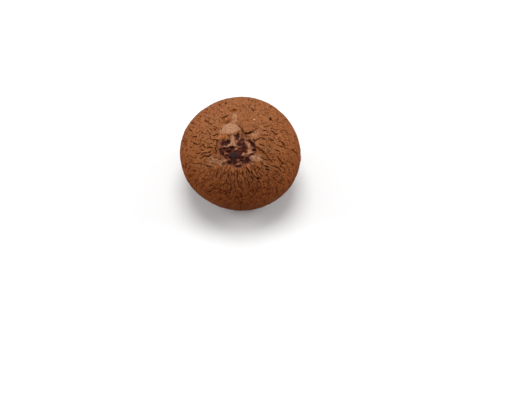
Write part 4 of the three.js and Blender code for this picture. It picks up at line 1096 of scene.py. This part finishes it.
def paste_material():
    m = Nodes("bean_paste")
    rest = m.attribute("rest", vector=True)
    lump = m.noise(rest, 0.8, 3, 0.6)
    grain = m.noise(rest, 3.5, 3, 0.6)
    bulge = m.attribute("bulge")
    low = m.mix(m.ramp(lump, 0.35, 0.7), (0.034, 0.0076, 0.0046), (0.074, 0.0185, 0.0115))
    high = m.mix(m.ramp(lump, 0.35, 0.7), (0.0165, 0.0056, 0.0050), (0.0315, 0.0110, 0.0100))
    colour = m.mix(bulge, low, high)
    colour = m.mix(m.ramp(grain, 0.55, 0.8, 0, 0.4), colour, (0.095, 0.0310, 0.0240))
    m.put(m.shader.inputs["Base Color"], colour)
    m.put(m.shader.inputs["Roughness"], m.ramp(grain, 0.3, 0.7, 0.44, 0.62))
    m.shader.inputs["Specular IOR Level"].default_value = 0.11
    m.put(m.shader.inputs["Normal"], m.bump(grain, 0.5, 0.00018))
    return m.material


bun.data.materials.append(crust_material())
paste.data.materials.append(paste_material())

# ---- floor, light and camera -----------------------------------------------------------------------------


def floor_piece():
    mesh = bpy.data.meshes.new("floor")
    n, size = 96, 0.85
    turns = [2 * math.pi * k / n for k in range(n)]
    mesh.from_pydata([(size * math.cos(t), size * math.sin(t), 0) for t in turns], [], [tuple(range(n))])
    obj = bpy.data.objects.new("floor", mesh)
    bpy.context.scene.collection.objects.link(obj)
    m = Nodes("pale_floor")
    m.put(m.shader.inputs["Base Color"], (0.80, 0.80, 0.80))
    m.put(m.shader.inputs["Roughness"], 0.9)
    obj.data.materials.append(m.material)
    return obj


def backdrop_piece():
    """A plain white wall all round, far behind the floor's edge. It is only seen: it neither lights nor shades."""
    n, radius, top = 48, 3.0, 4.0
    turns = [2 * math.pi * k / n for k in range(n)]
    points = [(radius * math.cos(t), radius * math.sin(t), z) for z in (-1.5, top) for t in turns]
    faces = [(k, (k + 1) % n, n + (k + 1) % n, n + k) for k in range(n)]
    mesh = bpy.data.meshes.new("backdrop")
    mesh.from_pydata(points, [], faces)
    obj = bpy.data.objects.new("backdrop", mesh)
    bpy.context.scene.collection.objects.link(obj)
    m = Nodes("white_wall")
    m.put(m.shader.inputs["Base Color"], (0.0, 0.0, 0.0))
    m.shader.inputs["Specular IOR Level"].default_value = 0.0
    m.put(m.shader.inputs["Emission Color"], (1.0, 1.0, 1.0))
    m.shader.inputs["Emission Strength"].default_value = 0.9
    obj.data.materials.append(m.material)
    obj.visible_diffuse = obj.visible_glossy = obj.visible_transmission = obj.visible_shadow = False


def area_light(name, location, size, power, towards=(0, 0, 0.02), colour=(1, 1, 1)):
    data = bpy.data.lights.new(name, "AREA")
    data.shape = "DISK"
    data.size = size
    data.energy = power
    data.color = colour
    obj = bpy.data.objects.new(name, data)
    obj.location = location
    obj.rotation_mode = "QUATERNION"
    obj.rotation_quaternion = (Vector(towards) - Vector(location)).to_track_quat("-Z", "Y")
    bpy.context.scene.collection.objects.link(obj)


floor_piece()
backdrop_piece()
area_light("key", (0.0, 0.27, 0.86), 0.6, 6.3)
area_light("left_side", (-0.75, 0.12, 0.35), 0.5, 4.2)
area_light("right_side", (0.75, 0.12, 0.35), 0.5, 4.2)
area_light("front_fill", (0.10, -0.75, 0.60), 0.7, 0.6)

world = bpy.data.worlds.new("studio")
world.use_nodes = True
background = next(n for n in world.node_tree.nodes if n.type == "BACKGROUND")
background.inputs["Color"].default_value = (1.0, 1.0, 1.0, 1.0)
background.inputs["Strength"].default_value = 0.29
bpy.context.scene.world = world
view = bpy.context.scene.view_settings
view.view_transform = "Standard"
view.look = "None"

DISTANCE, ELEVATION, YAW, PITCH, LENS = 429.6, 51.0, 1.65, 54.06, 60.75
camera_data = bpy.data.cameras.new("camera")
camera_data.lens = LENS
camera_data.sensor_width = 36.0
camera_data.clip_start, camera_data.clip_end = 0.01, 20.0
camera = bpy.data.objects.new("camera", camera_data)
e = math.radians(ELEVATION)
camera.location = Vector(CENTRE + DISTANCE * np.array([0, -math.cos(e), math.sin(e)])) / 1000
yaw, pitch = math.radians(YAW), math.radians(PITCH)
forward = Vector((math.sin(yaw) * math.cos(pitch), math.cos(yaw) * math.cos(pitch), -math.sin(pitch)))
camera.rotation_mode = "QUATERNION"
camera.rotation_quaternion = forward.to_track_quat("-Z", "Y")
bpy.context.scene.collection.objects.link(camera)
bpy.context.scene.camera = camera
